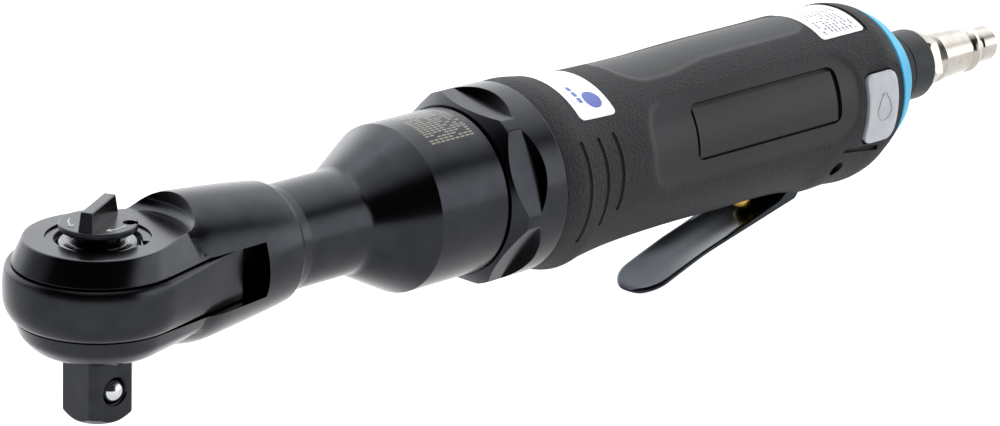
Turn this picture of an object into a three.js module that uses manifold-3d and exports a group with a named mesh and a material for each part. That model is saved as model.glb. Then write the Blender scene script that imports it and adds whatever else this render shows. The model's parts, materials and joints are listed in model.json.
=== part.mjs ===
// Air ratchet with a 12.7 mm (1/2 inch) square drive, built piece by piece as it comes apart on a bench.
//
// Units are millimetres. Every piece is drawn about the tool's own axis: +X runs along the tool from the
// drive to the air inlet, +Z is away from the square drive, and x = 0 is the axis that the drive turns on.
// The finished group is then lifted, so that the origin is the centre of the square drive's end face.

import * as THREE from 'three';
import { mergeVertices } from 'three/addons/utils/BufferGeometryUtils.js';
import Module from 'manifold-3d';

const wasm = await Module();
wasm.setup();

// ---------------------------------------------------------------- driving dimensions

const SQUARE = 12.7;              // across the flats of the square drive
const SQUARE_CORNER_R = 7.85;     // the square's corners are turned to this radius
const DRIVE_END = -30.6;          // end face of the square, below the tool's axis
const SQUARE_TOP = -15.8;         // the square's sides end here, above a relief
const RELIEF_HALF = 5.9;
const BALL_HEIGHT = -23.2;        // the socket ball's hole
const BALL_R = 2.9;

const HEAD_TOP = 12.3;            // flat on top of the head
const HEAD_EDGE_R = 16.9;         // edge of that flat
const CHEEK_R = 19.4;             // cheeks where they meet the yoke
const YOKE_BELLY_R = 21.4;        // the yoke bulges out to this
const SLOT_HALF = 6.6;            // half the height of the slot that the yoke swings in
const YOKE_HALF = 6.3;
const SLOT_END = 37.3;
const HEAD_BORE_R = 12.0;
const DRIVE_BORE_R = 8.8;

const TEETH = 40;                 // ratchet teeth inside the yoke
const TOOTH_TIP_R = 12.4;
const TOOTH_ROOT_R = 13.5;
const TAIL_END = 31.4;            // rear end of the yoke's fork
const TAIL_HALF = 13.3;
const CRANK_THROW = 2.3;          // the yoke swings about 4.8 degrees each way
const BUSHING_R = 3.8;
const FORK_HALF = BUSHING_R + 2 * CRANK_THROW + 0.3;

const ANVIL_R = 11.7;
const STEM_R = 3.4;               // stem of the reverse knob
const BOSS_R = 4.9;
const KNOB_R = 8.9;
const KNOB_TURN = 30;             // the knob's bar lies this far to one side of the tool's axis
const PAWL_PIVOT = -9.0;
const PAWL_TILT = 5;              // the pawl leans this far to the same side

const NECK_R = 12.8;
const NECK_END = 72.4;
const CASE_R = 20.8;
const CASE_START = 87.8;
const CASE_END = 109.9;
const GEAR_BORE_R = 17.4;         // bore of the gear case and of the motor housing
const SPIGOT_R = 19.6;            // both housings reach into the clamp ring at this radius

const GEAR_MODULE = 0.75;
const SUN_TEETH = 12;
const PLANET_TEETH = 12;
const RING_TEETH = 36;
const BACKLASH = 0.12;            // taken off each flank
const PLANET_ORBIT = GEAR_MODULE * (SUN_TEETH + PLANET_TEETH) / 2;
const GEARS_START = 92.2;
const GEARS_END = 100.0;

const RING_R = 24.2;              // clamp ring
const RING_FLATS = 43.7;          // across the ring's flats
const RING_START = 110.3;
const RING_END = 126.8;
const FLATS_END = 118.2;

const MOTOR_START = 113.7;        // cylinder
const MOTOR_END = 164.7;
const ROTOR_START = MOTOR_START + 0.4;
const ROTOR_END = MOTOR_END - 0.4;
const ROTOR_R = 12.0;
const CYLINDER_BORE_R = 13.9;
const CYLINDER_OFFSET = -1.5;     // the cylinder's bore lies below the rotor's axis
const VANES = 5;
const DOWEL_HEIGHT = 14.8;

const GRIP_START = 127.1;
const GRIP_END = 259.2;
const GRIP_BORE_R = 20.5;
const HOUSING_R = 20.2;
const HOUSING_END = 256.6;
const EXHAUST_END = 271.5;
const EXHAUST_R = 14.15;

const LEVER_PIN = [236.7, -15.7]; // x and height of the lever's pin
const LEVER_HALF = 8.0;
const LEVER_SHEET = 1.6;
const VALVE_X = 220.0;
const STEM_TIP = -27.8;

const INLET_R = 9.8;
const INLET_END = 287.6;
const NIPPLE_END = 322.0;

const FINE = 24;                  // sides of large round shapes
const MEDIUM = 16;
const SMALL = 10;
const TINY = 8;

// ---------------------------------------------------------------- finishes

const finish = (color, roughness, metalness) => () => (
  new THREE.MeshStandardMaterial({ color, roughness, metalness })
);
const blackenedSteel = finish(0x26272a, 0.42, 0.9);
const brightSteel = finish(0xb9bbbd, 0.25, 1.0);
const groundSteel = finish(0x8d9094, 0.35, 1.0);
const springSteel = finish(0x6d7074, 0.35, 1.0);
const castAluminium = finish(0x9b9ea1, 0.5, 1.0);
const brass = finish(0xc9a24a, 0.3, 1.0);
const nickelPlate = finish(0xcfcac0, 0.18, 1.0);
const blackComposite = finish(0x1c1d1f, 0.7, 0.0);
const blackRubber = finish(0x161616, 0.85, 0.0);
const greyRubber = finish(0xc3c5ca, 0.6, 0.0);
const blueAcetal = finish(0x19b4d6, 0.4, 0.0);
const vaneResin = finish(0x5a3a22, 0.6, 0.0);
const greyFelt = finish(0x8b8b86, 0.95, 0.0);
const steelMesh = finish(0xa6a8aa, 0.4, 1.0);
const labelFilm = finish(0xe9eaec, 0.4, 0.0);

// ---------------------------------------------------------------- shapes and solids

const X = new THREE.Vector3(1, 0, 0);
const Y = new THREE.Vector3(0, 1, 0);
const Z = new THREE.Vector3(0, 0, 1);
const radians = THREE.MathUtils.degToRad;

function solid(geometry) {
  // Shared corners are merged, slivers at a turned shape's poles are dropped, and the faces point out.
  const bare = geometry.index ? geometry.clone() : geometry;
  bare.deleteAttribute('normal');
  bare.deleteAttribute('uv');
  const merged = mergeVertices(bare, 1e-4);
  const corners = merged.attributes.position;
  const index = merged.index.array;
  const triangles = [];
  let volume = 0;
  for (let i = 0; i < index.length; i += 3) {
    const [a, b, c] = [index[i], index[i + 1], index[i + 2]];
    if (a === b || b === c || c === a) continue;
    triangles.push(a, b, c);
    const [p, q, r] = [a, b, c].map((k) => new THREE.Vector3().fromBufferAttribute(corners, k));
    volume += p.dot(q.cross(r));
  }
  if (volume < 0) triangles.reverse();
  const mesh = new wasm.Mesh({
    numProp: 3,
    vertProperties: new Float32Array(corners.array),
    triVerts: new Uint32Array(triangles),
  });
  return new wasm.Manifold(mesh);
}

const join = (...bodies) => bodies.reduce((sum, body) => sum.add(body));
const cut = (body, ...tools) => tools.reduce((rest, tool) => rest.subtract(tool), body);

function turned(profile, segments, axis) {
  // A profile of [distance along the axis, radius] pairs, turned about the tool's axis (X) or a drive axis.
  const points = profile.map(([along, radius]) => new THREE.Vector2(Math.max(radius, 0), along));
  const geometry = new THREE.LatheGeometry(points, segments);
  const basis = axis === 'x' ? [Y, X, Z.clone().negate()] : [X, Z, Y.clone().negate()];
  return geometry.applyMatrix4(new THREE.Matrix4().makeBasis(...basis));
}

const turnedX = (profile, segments) => solid(turned(profile, segments, 'x'));
const turnedZ = (profile, segments) => solid(turned(profile, segments, 'z'));
const bar = (from, to, radius) => [[from, 0], [from, radius], [to, radius], [to, 0]];
const tube = (from, to, outer, inner) => (
  [[from, inner], [from, outer], [to, outer], [to, inner], [from, inner]]
);

function block(x0, x1, y0, y1, z0, z1, degreesAboutX = 0) {
  const geometry = new THREE.BoxGeometry(x1 - x0, y1 - y0, z1 - z0);
  geometry.translate((x0 + x1) / 2, (y0 + y1) / 2, (z0 + z1) / 2);
  return solid(geometry.rotateX(radians(degreesAboutX)));
}

function extruded(outline, from, to, basis) {
  const shape = new THREE.Shape(outline.map(([a, b]) => new THREE.Vector2(a, b)));
  const geometry = new THREE.ExtrudeGeometry(shape, { depth: to - from, bevelEnabled: false });
  return geometry.translate(0, 0, from).applyMatrix4(new THREE.Matrix4().makeBasis(...basis));
}

const prismX = (outline, from, to) => solid(extruded(outline, from, to, [Y, Z, X]));
const prismY = (outline, from, to) => solid(extruded(outline, -to, -from, [X, Z, Y.clone().negate()]));
const prismZ = (outline, from, to) => solid(extruded(outline, from, to, [X, Y, Z]));

function rod(from, to, radius, segments) {
  const start = new THREE.Vector3(...from);
  const along = new THREE.Vector3(...to).sub(start);
  const geometry = new THREE.CylinderGeometry(radius, radius, along.length(), segments);
  const turn = new THREE.Quaternion().setFromUnitVectors(Y, along.clone().normalize());
  geometry.applyQuaternion(turn);
  return solid(geometry.translate(...start.addScaledVector(along, 0.5).toArray()));
}

function arc(radius, from, to, steps) {
  const points = [];
  for (let i = 0; i <= steps; i += 1) {
    const angle = radians(from + (to - from) * i / steps);
    points.push([radius * Math.cos(angle), radius * Math.sin(angle)]);
  }
  return points;
}

// ---------------------------------------------------------------- gears

const PRESSURE_ANGLE = radians(20);
const involute = (angle) => Math.tan(angle) - angle;

function gearOutline(teeth, addendum, dedendum, extraThickness, phase) {
  // Involute teeth with straight flanks between root and tip; a negative extra thickness leaves backlash.
  const pitchR = GEAR_MODULE * teeth / 2;
  const baseR = pitchR * Math.cos(PRESSURE_ANGLE);
  const halfAtPitch = Math.PI / (2 * teeth) + extraThickness / pitchR;
  const half = (r) => halfAtPitch + involute(PRESSURE_ANGLE) - involute(Math.acos(Math.min(baseR / r, 1)));
  const radii = [pitchR - dedendum, pitchR + addendum];
  const outline = [];
  for (let k = 0; k < teeth; k += 1) {
    const centre = radians(phase) + 2 * Math.PI * k / teeth;
    const flank = radii.map((r) => [r, half(Math.max(r, baseR))]);
    const rising = flank.map(([r, a]) => [r, centre - a]);
    const falling = flank.reverse().map(([r, a]) => [r, centre + a]);
    outline.push(...[...rising, ...falling].map(([r, a]) => [r * Math.cos(a), r * Math.sin(a)]));
  }
  return outline;
}

// ---------------------------------------------------------------- ratchet head

function headHousing() {
  const cheeks = turnedZ([
    [-15.2, 0], [-15.2, 9.0], [-13.8, 14.0], [-10.6, 17.4], [-SLOT_HALF, 18.9],
    [SLOT_HALF, CHEEK_R], [11.6, 17.7], [HEAD_TOP, HEAD_EDGE_R], [HEAD_TOP, 0],
  ], FINE);
  const body = turnedX([
    [10, 0], [10, 17.0], [22, 17.7], [36, 16.5], [48.6, 14.8], [50.6, NECK_R],
    [NECK_END, NECK_R], [CASE_START, CASE_R], [CASE_END, CASE_R], [CASE_END, SPIGOT_R], [118.0, SPIGOT_R],
    [118.0, 0],
  ], FINE);
  const topFlat = turnedZ([[HEAD_TOP, 0], [HEAD_TOP, 18.6], [14.0, 21.8], [22, 24.4], [22, 0]], FINE);
  const yokeSlot = block(-26, SLOT_END, -26, 26, -SLOT_HALF, SLOT_HALF);
  const topBore = turnedZ(bar(-7.4, 20, HEAD_BORE_R), MEDIUM);
  const ringGroove = turnedZ(bar(10.8, 12.0, HEAD_BORE_R + 0.8), MEDIUM);
  const driveBore = turnedZ(bar(-20, 0, DRIVE_BORE_R), MEDIUM);
  const crankBore = turnedX([
    [30, 0], [30, 6.6], [39.6, 6.6], [39.6, 8.2], [79.7, 8.2], [79.7, 11.2], [88.0, 11.2], [88.0, 13.2],
    [91.8, 13.2], [91.8, GEAR_BORE_R], [130, GEAR_BORE_R], [130, 0],
  ], MEDIUM);
  return cut(join(cheeks, body), topFlat, yokeSlot, topBore, ringGroove, driveBore, crankBore);
}

function ratchetYoke() {
  const drum = turnedZ([
    [-YOKE_HALF, 0], [-YOKE_HALF, CHEEK_R], [-2.4, YOKE_BELLY_R], [2.4, YOKE_BELLY_R], [YOKE_HALF, CHEEK_R],
    [YOKE_HALF, 0],
  ], FINE);
  const plan = [[4, 19.2], [4, -19.2], [TAIL_END, -TAIL_HALF], [TAIL_END, TAIL_HALF]];
  const tail = prismZ(plan, -YOKE_HALF, YOKE_HALF);
  const teeth = [];
  for (let k = 0; k < 2 * TEETH; k += 1) {
    const radius = k % 2 ? TOOTH_TIP_R : TOOTH_ROOT_R;
    const angle = Math.PI * k / TEETH;
    teeth.push([radius * Math.cos(angle), radius * Math.sin(angle)]);
  }
  const fork = block(22.2, TAIL_END + 2, -FORK_HALF, FORK_HALF, -8, 8);
  return cut(join(drum, tail), prismZ(teeth, -8, 8), fork);
}

function driveAnvil() {
  const squareEnd = turnedZ([
    [DRIVE_END, 0], [DRIVE_END, 6.3], [DRIVE_END + 1.4, SQUARE_CORNER_R], [-14, SQUARE_CORNER_R], [-14, 0],
  ], MEDIUM);
  // A shallow relief parts the square's sides from the round boss above them.
  const square = (half, from, to) => block(-half, half, -half, half, from, to);
  const relief = square(RELIEF_HALF, SQUARE_TOP - 0.1, -14.6);
  const flats = join(square(SQUARE / 2, DRIVE_END - 1, SQUARE_TOP), relief);
  const round = turnedZ([
    [-14.9, 0], [-14.9, 8.5], [-6.2, 8.5], [-6.2, ANVIL_R], [10.0, ANVIL_R], [10.0, 9.6], [11.4, 8.4],
    [10.6, 0],
  ], MEDIUM);
  const stemBore = turnedZ([[-4.6, 0], [-4.6, 3.7], [8.0, 3.7], [8.0, 5.2], [14, 5.2], [14, 0]], MEDIUM);
  const pawlPocket = block(-13, -4.5, -6.4, 6.4, -4.8, 4.8);
  const window = block(-4.8, -1, -4.4, 4.4, -1.6, 1.6);
  const pinHole = rod([PAWL_PIVOT, 0, -5.9], [PAWL_PIVOT, 0, 14], 1.5, SMALL);
  const ballHole = rod([0, -9, BALL_HEIGHT], [0, 3.6, BALL_HEIGHT], 3.2, SMALL);
  return cut(join(squareEnd.intersect(flats), round), stemBore, pawlPocket, window, pinHole, ballHole);
}

function ratchetPawl() {
  const outer = arc(11.78, 180 - 27, 180 + 27, 6);
  const back = arc(6.1, 180 + 33, 180 - 33, 6);
  const pawl = prismZ([...outer, ...back], -4.4, 4.4);
  return cut(pawl, rod([PAWL_PIVOT, 0, -6], [PAWL_PIVOT, 0, 6], 1.55, SMALL));
}

function reverseKnob() {
  const disc = turnedZ([
    [-4.2, 0], [-4.2, STEM_R], [8.4, STEM_R], [8.4, BOSS_R], [14.1, BOSS_R], [14.1, KNOB_R],
    [15.6, KNOB_R], [15.6, 0],
  ], MEDIUM);
  const side = [[-8.3, 15.0], [8.3, 15.0], [7.3, 20.0], [-7.3, 20.0]];
  const thumbBar = prismY(side, -1.55, 1.55);
  const notch = rod([8.2, -8.2, 13], [8.2, -8.2, 17], 2.6, TINY);
  const plungerBore = rod([2.2, 0, 0], [-5, 0, 0], 1.35, TINY);
  return cut(join(disc, thumbBar), notch, plungerBore);
}

// ---------------------------------------------------------------- crank and gears

const WEB_OUTLINE = [[-1.7, 8.4], [-1.7, 12.1], [1.7, 12.1], [1.7, 8.4]];   // between two planets

function crankshaft() {
  const shaft = turnedX([
    [33.0, 0], [33.0, 6.0], [88.4, 6.0], [88.4, 12.4], [91.6, 12.4], [91.6, 0],
  ], MEDIUM);
  const rearPlate = turnedX(tube(100.4, 102.8, 12.4, 5.7), MEDIUM);
  const throwPin = rod([23.8, 0, CRANK_THROW], [34, 0, CRANK_THROW], 2.2, SMALL);
  let cage = join(shaft, rearPlate, throwPin);
  for (let k = 0; k < 3; k += 1) {
    const outline = WEB_OUTLINE.map(([y, z]) => aboutX(y, z, 60 + 120 * k));
    const web = prismX(outline, 91, 101);
    const [py, pz] = aboutX(0, PLANET_ORBIT, 120 * k);
    cage = cut(join(cage, web), rod([87, py, pz], [104, py, pz], 1.5, TINY));
  }
  return cage;
}

function aboutX(y, z, degrees) {
  const angle = radians(degrees);
  return [y * Math.cos(angle) - z * Math.sin(angle), y * Math.sin(angle) + z * Math.cos(angle)];
}

function ringGear() {
  const rim = turnedX(bar(GEARS_START, GEARS_END, GEAR_BORE_R - 0.4), FINE);
  // A ring tooth stands straight above the axis, opposite a gap of the topmost planet.
  const hollow = gearOutline(RING_TEETH, 0.9, 0.4, BACKLASH, 90 + 180 / RING_TEETH);
  return cut(rim, prismX(hollow, GEARS_START - 1, GEARS_END + 1));
}

function planetGear() {
  const outline = gearOutline(PLANET_TEETH, 0.6, 0.86, -BACKLASH, 90 + 180 / PLANET_TEETH);
  const pinBore = turnedX(bar(GEARS_START - 1, GEARS_END + 1, 1.6), TINY);
  return cut(prismX(outline, GEARS_START, GEARS_END), pinBore);
}

function sunPinion() {
  const outline = gearOutline(SUN_TEETH, 0.6, 0.86, -BACKLASH, 90);
  const teeth = join(prismX(outline, 92.0, 100.8), turnedX(bar(100.2, 103.8, 4.4), SMALL));
  return cut(teeth, turnedX(bar(91, 105, 2.75), SMALL));
}

// ---------------------------------------------------------------- clamp ring and motor

function clampRing() {
  const blank = turnedX([
    [RING_START, 19.9], [RING_START, 21.2], [RING_START + 3.0, RING_R], [RING_END, RING_R], [RING_END, 19.9],
    [RING_START, 19.9],
  ], FINE);
  const flats = [];
  for (let k = 0; k < 6; k += 1) {
    // Each flat is milled from the front and stops short of the rear edge in a rounded wall.
    flats.push(block(RING_START - 1, FLATS_END, -12, 12, RING_FLATS / 2, 28, 60 * k + 7));
  }
  return cut(blank, ...flats);
}

function rotorBody() {
  const core = turnedX([
    [92.0, 0], [92.0, 2.5], [105.0, 2.5], [105.0, 4.0], [ROTOR_START, 4.0], [ROTOR_START, ROTOR_R],
    [ROTOR_END, ROTOR_R], [ROTOR_END, 4.0], [172.0, 4.0], [172.0, 0],
  ], MEDIUM);
  const slots = [];
  for (let k = 0; k < VANES; k += 1) {
    slots.push(block(MOTOR_START, MOTOR_END, -1.1, 1.1, 5.0, 14, vaneAngle(k)));
  }
  return cut(core, ...slots);
}

const vaneAngle = (k) => 36 + 360 * k / VANES;

function motorCylinder() {
  const wall = turnedX(bar(MOTOR_START, MOTOR_END, GEAR_BORE_R - 0.4), FINE);
  const [boreStart, boreEnd] = [MOTOR_START - 1, MOTOR_END + 1].map((x) => [x, 0, CYLINDER_OFFSET]);
  const bore = rod(boreStart, boreEnd, CYLINDER_BORE_R, FINE);
  const exhaustPort = block(126, 152, -18, -8, -6, 2);
  return cut(wall, bore, dowelHole(), exhaustPort);
}

const dowelHole = () => rod([100, 0, DOWEL_HEIGHT], [180, 0, DOWEL_HEIGHT], 1.45, TINY);

function endPlate(from, to, pocketFrom, pocketTo) {
  const plate = turnedX(tube(from, to, GEAR_BORE_R - 0.4, 4.6), MEDIUM);
  const pocket = turnedX(bar(pocketFrom, pocketTo, 9.2), MEDIUM);
  return cut(plate, pocket, dowelHole());
}

function motorHousing() {
  const body = turnedX([
    [118.4, 0], [118.4, SPIGOT_R], [127.2, SPIGOT_R], [127.2, HOUSING_R], [HOUSING_END, HOUSING_R],
    [HOUSING_END, 0],
  ], FINE);
  const motorBore = turnedX(bar(110, 172.8, GEAR_BORE_R), FINE);
  const inletBore = turnedX([
    [VALVE_X, 0], [VALVE_X, 4.0], [242.0, 4.0], [242.0, 8.3], [260, 8.3], [260, 0],
  ], MEDIUM);
  const valveBore = rod([VALVE_X, 0, -26], [VALVE_X, 0, 12.0], 5.6, MEDIUM);
  const feed = rod([170, 0, -9], [VALVE_X, 0, -9], 2.6, TINY);
  const exhausts = [-12.5, 12.5].map((y) => rod([170, y, 9], [260, y, 9], 2.6, TINY));
  const earRoom = block(228.6, 241.6, -9.0, 9.0, -26, -11.6);
  const [pinX, pinZ] = LEVER_PIN;
  const pinHole = rod([pinX, -26, pinZ], [pinX, 26, pinZ], 1.7, SMALL);
  return cut(body, motorBore, inletBore, valveBore, feed, ...exhausts, earRoom, pinHole);
}

// ---------------------------------------------------------------- grip

// Radii of the grip above, beside and below the axis, at stations along it.
const GRIP_STATIONS = [
  [GRIP_START, 23.8, 23.8, 23.8], [132.0, 24.1, 24.2, 24.4], [138.5, 23.3, 23.6, 26.1],
  [143.0, 22.7, 23.1, 25.2], [156.0, 22.0, 22.5, 23.8], [176.0, 21.8, 22.0, 23.3],
  [200.0, 22.3, 22.2, 23.6], [240.0, 22.5, 22.5, 24.5], [248.0, 22.6, 22.6, 25.3],
  [253.0, 22.6, 22.6, 24.9], [GRIP_END, 21.7, 21.7, 21.9],
];

function gripRadius(top, side, bottom, angle) {
  // Angle 0 is sideways and 90 degrees is up; each half of the section is an ellipse.
  const height = Math.sin(angle) > 0 ? top : bottom;
  return Math.hypot(side * Math.cos(angle), height * Math.sin(angle));
}

function loftedGrip(proud) {
  const segments = FINE;
  const positions = [];
  const triangles = [];
  GRIP_STATIONS.forEach(([x, top, side, bottom], row) => {
    for (let k = 0; k < segments; k += 1) {
      const angle = 2 * Math.PI * k / segments;
      const radius = gripRadius(top, side, bottom, angle) + proud;
      positions.push(x, radius * Math.cos(angle), radius * Math.sin(angle));
      if (row === 0) continue;
      const [a, b] = [row * segments + k, row * segments + (k + 1) % segments];
      triangles.push(a - segments, a, b - segments, b - segments, a, b);
    }
  });
  const last = (GRIP_STATIONS.length - 1) * segments;
  for (let k = 1; k < segments - 1; k += 1) {
    triangles.push(0, k, k + 1, last, last + k + 1, last + k);
  }
  const geometry = new THREE.BufferGeometry();
  geometry.setAttribute('position', new THREE.BufferAttribute(new Float32Array(positions), 3));
  geometry.setIndex(triangles);
  return solid(geometry);
}

function gripSleeve() {
  const bore = turnedX(bar(GRIP_START - 1, GRIP_END + 1, GRIP_BORE_R), FINE);
  const leverSlot = block(188, 234.0, -LEVER_HALF - 0.8, LEVER_HALF + 0.8, -30, -12);
  const earRoom = block(233, 238.2, -LEVER_HALF - 0.8, LEVER_HALF + 0.8, -21.8, -12);
  const [pinX, pinZ] = LEVER_PIN;
  const pinHole = rod([pinX, -30, pinZ], [pinX, 30, pinZ], 2.1, SMALL);
  const plugPocket = roundedPlate(249.3, 6.6, 10.4, 2.5, -30, -15);
  return cut(loftedGrip(0), bore, leverSlot, earRoom, pinHole, plugPocket);
}

function roundedPlate(centreX, halfX, halfZ, cornerR, y0, y1) {
  const outline = [];
  const corners = [[1, 1, 0], [-1, 1, 90], [-1, -1, 180], [1, -1, 270]];
  for (const [sx, sz, start] of corners) {
    for (const [dx, dz] of arc(cornerR, start, start + 90, 3)) {
      outline.push([centreX + sx * (halfX - cornerR) + dx, sz * (halfZ - cornerR) + dz]);
    }
  }
  return prismY(outline, y0, y1);
}

function oilPortPlug() {
  // A soft plate that follows the grip's side, with a stub that reaches into the housing's side.
  const shell = turnedX(tube(240, 260, 22.9, 20.9), FINE);
  return shell.intersect(roundedPlate(249.3, 6.2, 10.0, 2.3, -30, -15));
}

function label(x0, x1, from, to) {
  // A thin film that follows the grip; angles are measured from the near side (-Y) upwards.
  const steps = Math.round((to - from) / 12);
  const wedge = prismX([[0, 0], ...arc(40, 180 - to, 180 - from, steps)], x0, x1);
  return cut(loftedGrip(0.45), loftedGrip(0.1)).intersect(wedge);
}

// ---------------------------------------------------------------- throttle

function throttleLever() {
  const [pinX, pinZ] = LEVER_PIN;
  // Side view: the sheet rises straight from the rounded tip to the ears that hold the pin.
  const sheetLow = (x) => -26.7 - 0.252 * (232.7 - x);
  const tip = 176.0;
  const web = prismY([
    [tip, sheetLow(tip)], [232.6, sheetLow(232.6)], [232.6, sheetLow(232.6) + LEVER_SHEET],
    [tip, sheetLow(tip) + LEVER_SHEET],
  ], -LEVER_HALF, LEVER_HALF);
  const rim = (x) => sheetLow(x) + 2.6;
  const side = [
    [188, sheetLow(188)], [232.6, sheetLow(232.6)], [233.6, -25.0], [233.7, -21.2], [pinX, pinZ - 2.9],
    [pinX + 2.1, pinZ - 2.1], [pinX + 2.9, pinZ], [pinX + 2.1, pinZ + 2.1], [pinX, pinZ + 2.9],
    [pinX - 2.6, pinZ + 1.7], [pinX - 5.4, pinZ - 6.0], [228.4, rim(228.4)], [192, rim(192)],
    [188, sheetLow(188) + LEVER_SHEET],
  ];
  const ears = [-1, 1].map((s) => {
    const inner = s * (LEVER_HALF - LEVER_SHEET);
    const outer = s * LEVER_HALF;
    return prismY(side, Math.min(inner, outer), Math.max(inner, outer));
  });
  const tipPlan = [...arc(LEVER_HALF, 90, 270, 10), [60, -LEVER_HALF], [60, LEVER_HALF]];
  const rounded = prismZ(tipPlan.map(([a, b]) => [a + tip + LEVER_HALF, b]), -60, 0);
  const pinHole = rod([pinX, -12, pinZ], [pinX, 12, pinZ], 1.75, SMALL);
  return cut(join(web, ...ears).intersect(rounded), pinHole);
}

function valveBushing() {
  // The seat is at the top; the stem's seal sits in a pocket at the bottom.
  const body = turnedZ([
    [-19.8, 3.2], [-19.8, 5.3], [-3.2, 5.3], [-3.2, 2.6], [-4.2, 2.0], [-16.6, 2.0], [-16.6, 3.2],
    [-19.8, 3.2],
  ], SMALL);
  const port = rod([-6, 0, -9], [6, 0, -9], 1.6, TINY);
  return cut(body, port);
}

// ---------------------------------------------------------------- inlet

function inletBushing() {
  return turnedX([
    [242.6, 3.6], [242.6, 8.0], [257.4, 8.0], [257.4, INLET_R], [286.9, INLET_R],
    [INLET_END, 9.2], [INLET_END, 6.8], [279.6, 6.8], [279.6, 3.6], [242.6, 3.6],
  ], MEDIUM);
}

function nipple() {
  const body = turnedX([
    [280.2, 2.6], [280.2, 6.4], [288.8, 6.4], [288.8, 8.8], [292.6, 8.8], [292.9, 7.1], [297.6, 7.1],
    [298.2, 6.2], [308.8, 6.2], [309.9, 6.6], [312.4, 6.6], [313.6, 4.6], [315.4, 4.8], [321.0, 5.0],
    [NIPPLE_END, 4.2], [NIPPLE_END, 2.6], [280.2, 2.6],
  ], MEDIUM);
  const hexCut = [];
  for (let k = 0; k < 6; k += 1) {
    hexCut.push(block(288.4, 292.6, -9, 9, 7.6, 10, 60 * k + 10));
  }
  return cut(body, ...hexCut);
}

// ---------------------------------------------------------------- assembly

const tool = new THREE.Group();
tool.name = 'air_ratchet';
tool.position.z = -DRIVE_END;

function add(name, body, material, parent = tool) {
  const { vertProperties, triVerts } = body.getMesh();
  const geometry = new THREE.BufferGeometry();
  geometry.setAttribute('position', new THREE.BufferAttribute(new Float32Array(vertProperties), 3));
  geometry.setIndex(new THREE.BufferAttribute(new Uint32Array(triVerts), 1));
  geometry.computeVertexNormals();
  const mesh = new THREE.Mesh(geometry, material());
  mesh.name = name;
  parent.add(mesh);
  return mesh;
}

// Head
add('head_housing', headHousing(), blackenedSteel);
add('ratchet_yoke', ratchetYoke(), blackenedSteel);
add('drive_anvil', driveAnvil(), blackenedSteel);
add('lower_thrust_washer', turnedZ(tube(-7.2, -6.4, 11.6, 9.1), MEDIUM), groundSteel);
add('upper_thrust_washer', turnedZ(tube(10.1, 10.6, 11.6, 9.8), MEDIUM), groundSteel);
const snapRing = cut(turnedZ(tube(10.95, 11.85, 12.6, 9.9), MEDIUM), block(8, 14, -1.6, 1.6, 8, 14));
add('anvil_retaining_ring', snapRing, springSteel);
const ball = new THREE.SphereGeometry(BALL_R, 12, 8);
add('socket_ball', solid(ball.translate(0, -4.4, BALL_HEIGHT)), brightSteel);
add('socket_ball_spring', cut(rod([0, -0.7, BALL_HEIGHT], [0, 3.3, BALL_HEIGHT], 2.4, TINY),
  rod([0, -2, BALL_HEIGHT], [0, 4, BALL_HEIGHT], 1.6, TINY)), springSteel);

const knob = new THREE.Group();
knob.rotation.z = radians(KNOB_TURN);
tool.add(knob);
add('reverse_knob', reverseKnob(), blackenedSteel, knob);
add('knob_plunger', rod([-5.6, 0, 0], [-1.8, 0, 0], 1.1, TINY), groundSteel, knob);
add('knob_plunger_spring', cut(rod([-1.5, 0, 0], [1.9, 0, 0], 1.0, TINY),
  rod([-2.0, 0, 0], [2.4, 0, 0], 0.6, TINY)), springSteel, knob);

const pawlPivot = new THREE.Group();
pawlPivot.position.x = PAWL_PIVOT;
pawlPivot.rotation.z = radians(-PAWL_TILT);
tool.add(pawlPivot);
add('ratchet_pawl', ratchetPawl(), groundSteel, pawlPivot).position.x = -PAWL_PIVOT;
add('pawl_pin', rod([PAWL_PIVOT, 0, -5.6], [PAWL_PIVOT, 0, 9.6], 1.3, SMALL), groundSteel);

// Crank and reduction gears
const bushing = turnedX([
  [24.6, 0], [24.6, 3.3], [26.4, BUSHING_R], [29.2, BUSHING_R], [31.0, 3.3], [31.0, 0],
], SMALL);
const bushingBore = rod([23, 0, 0], [33, 0, 0], 2.4, SMALL);
add('drive_bushing', cut(bushing, bushingBore), groundSteel).position.z = CRANK_THROW;
add('crankshaft', crankshaft(), groundSteel);
add('crank_needle_bearing', turnedX(tube(40.0, 52.0, 8.0, 6.25), MEDIUM), brightSteel);
add('crank_ball_bearing', turnedX(tube(80.0, 87.8, 11.0, 6.25), MEDIUM), brightSteel);
add('ring_gear', ringGear(), groundSteel);
for (let k = 0; k < 3; k += 1) {
  const [y, z] = aboutX(0, PLANET_ORBIT, 120 * k);
  const station = new THREE.Group();
  station.position.set(0, y, z);
  station.rotation.x = radians(120 * k);
  tool.add(station);
  add(`planet_gear_${k + 1}`, planetGear(), groundSteel, station);
  add(`planet_pin_${k + 1}`, turnedX(bar(88.6, 102.6, 1.3), TINY), groundSteel, station);
}
add('sun_pinion', sunPinion(), groundSteel);
add('gear_spacer', turnedX(tube(100.4, 105.4, 17.0, 13.2), FINE), groundSteel);

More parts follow.
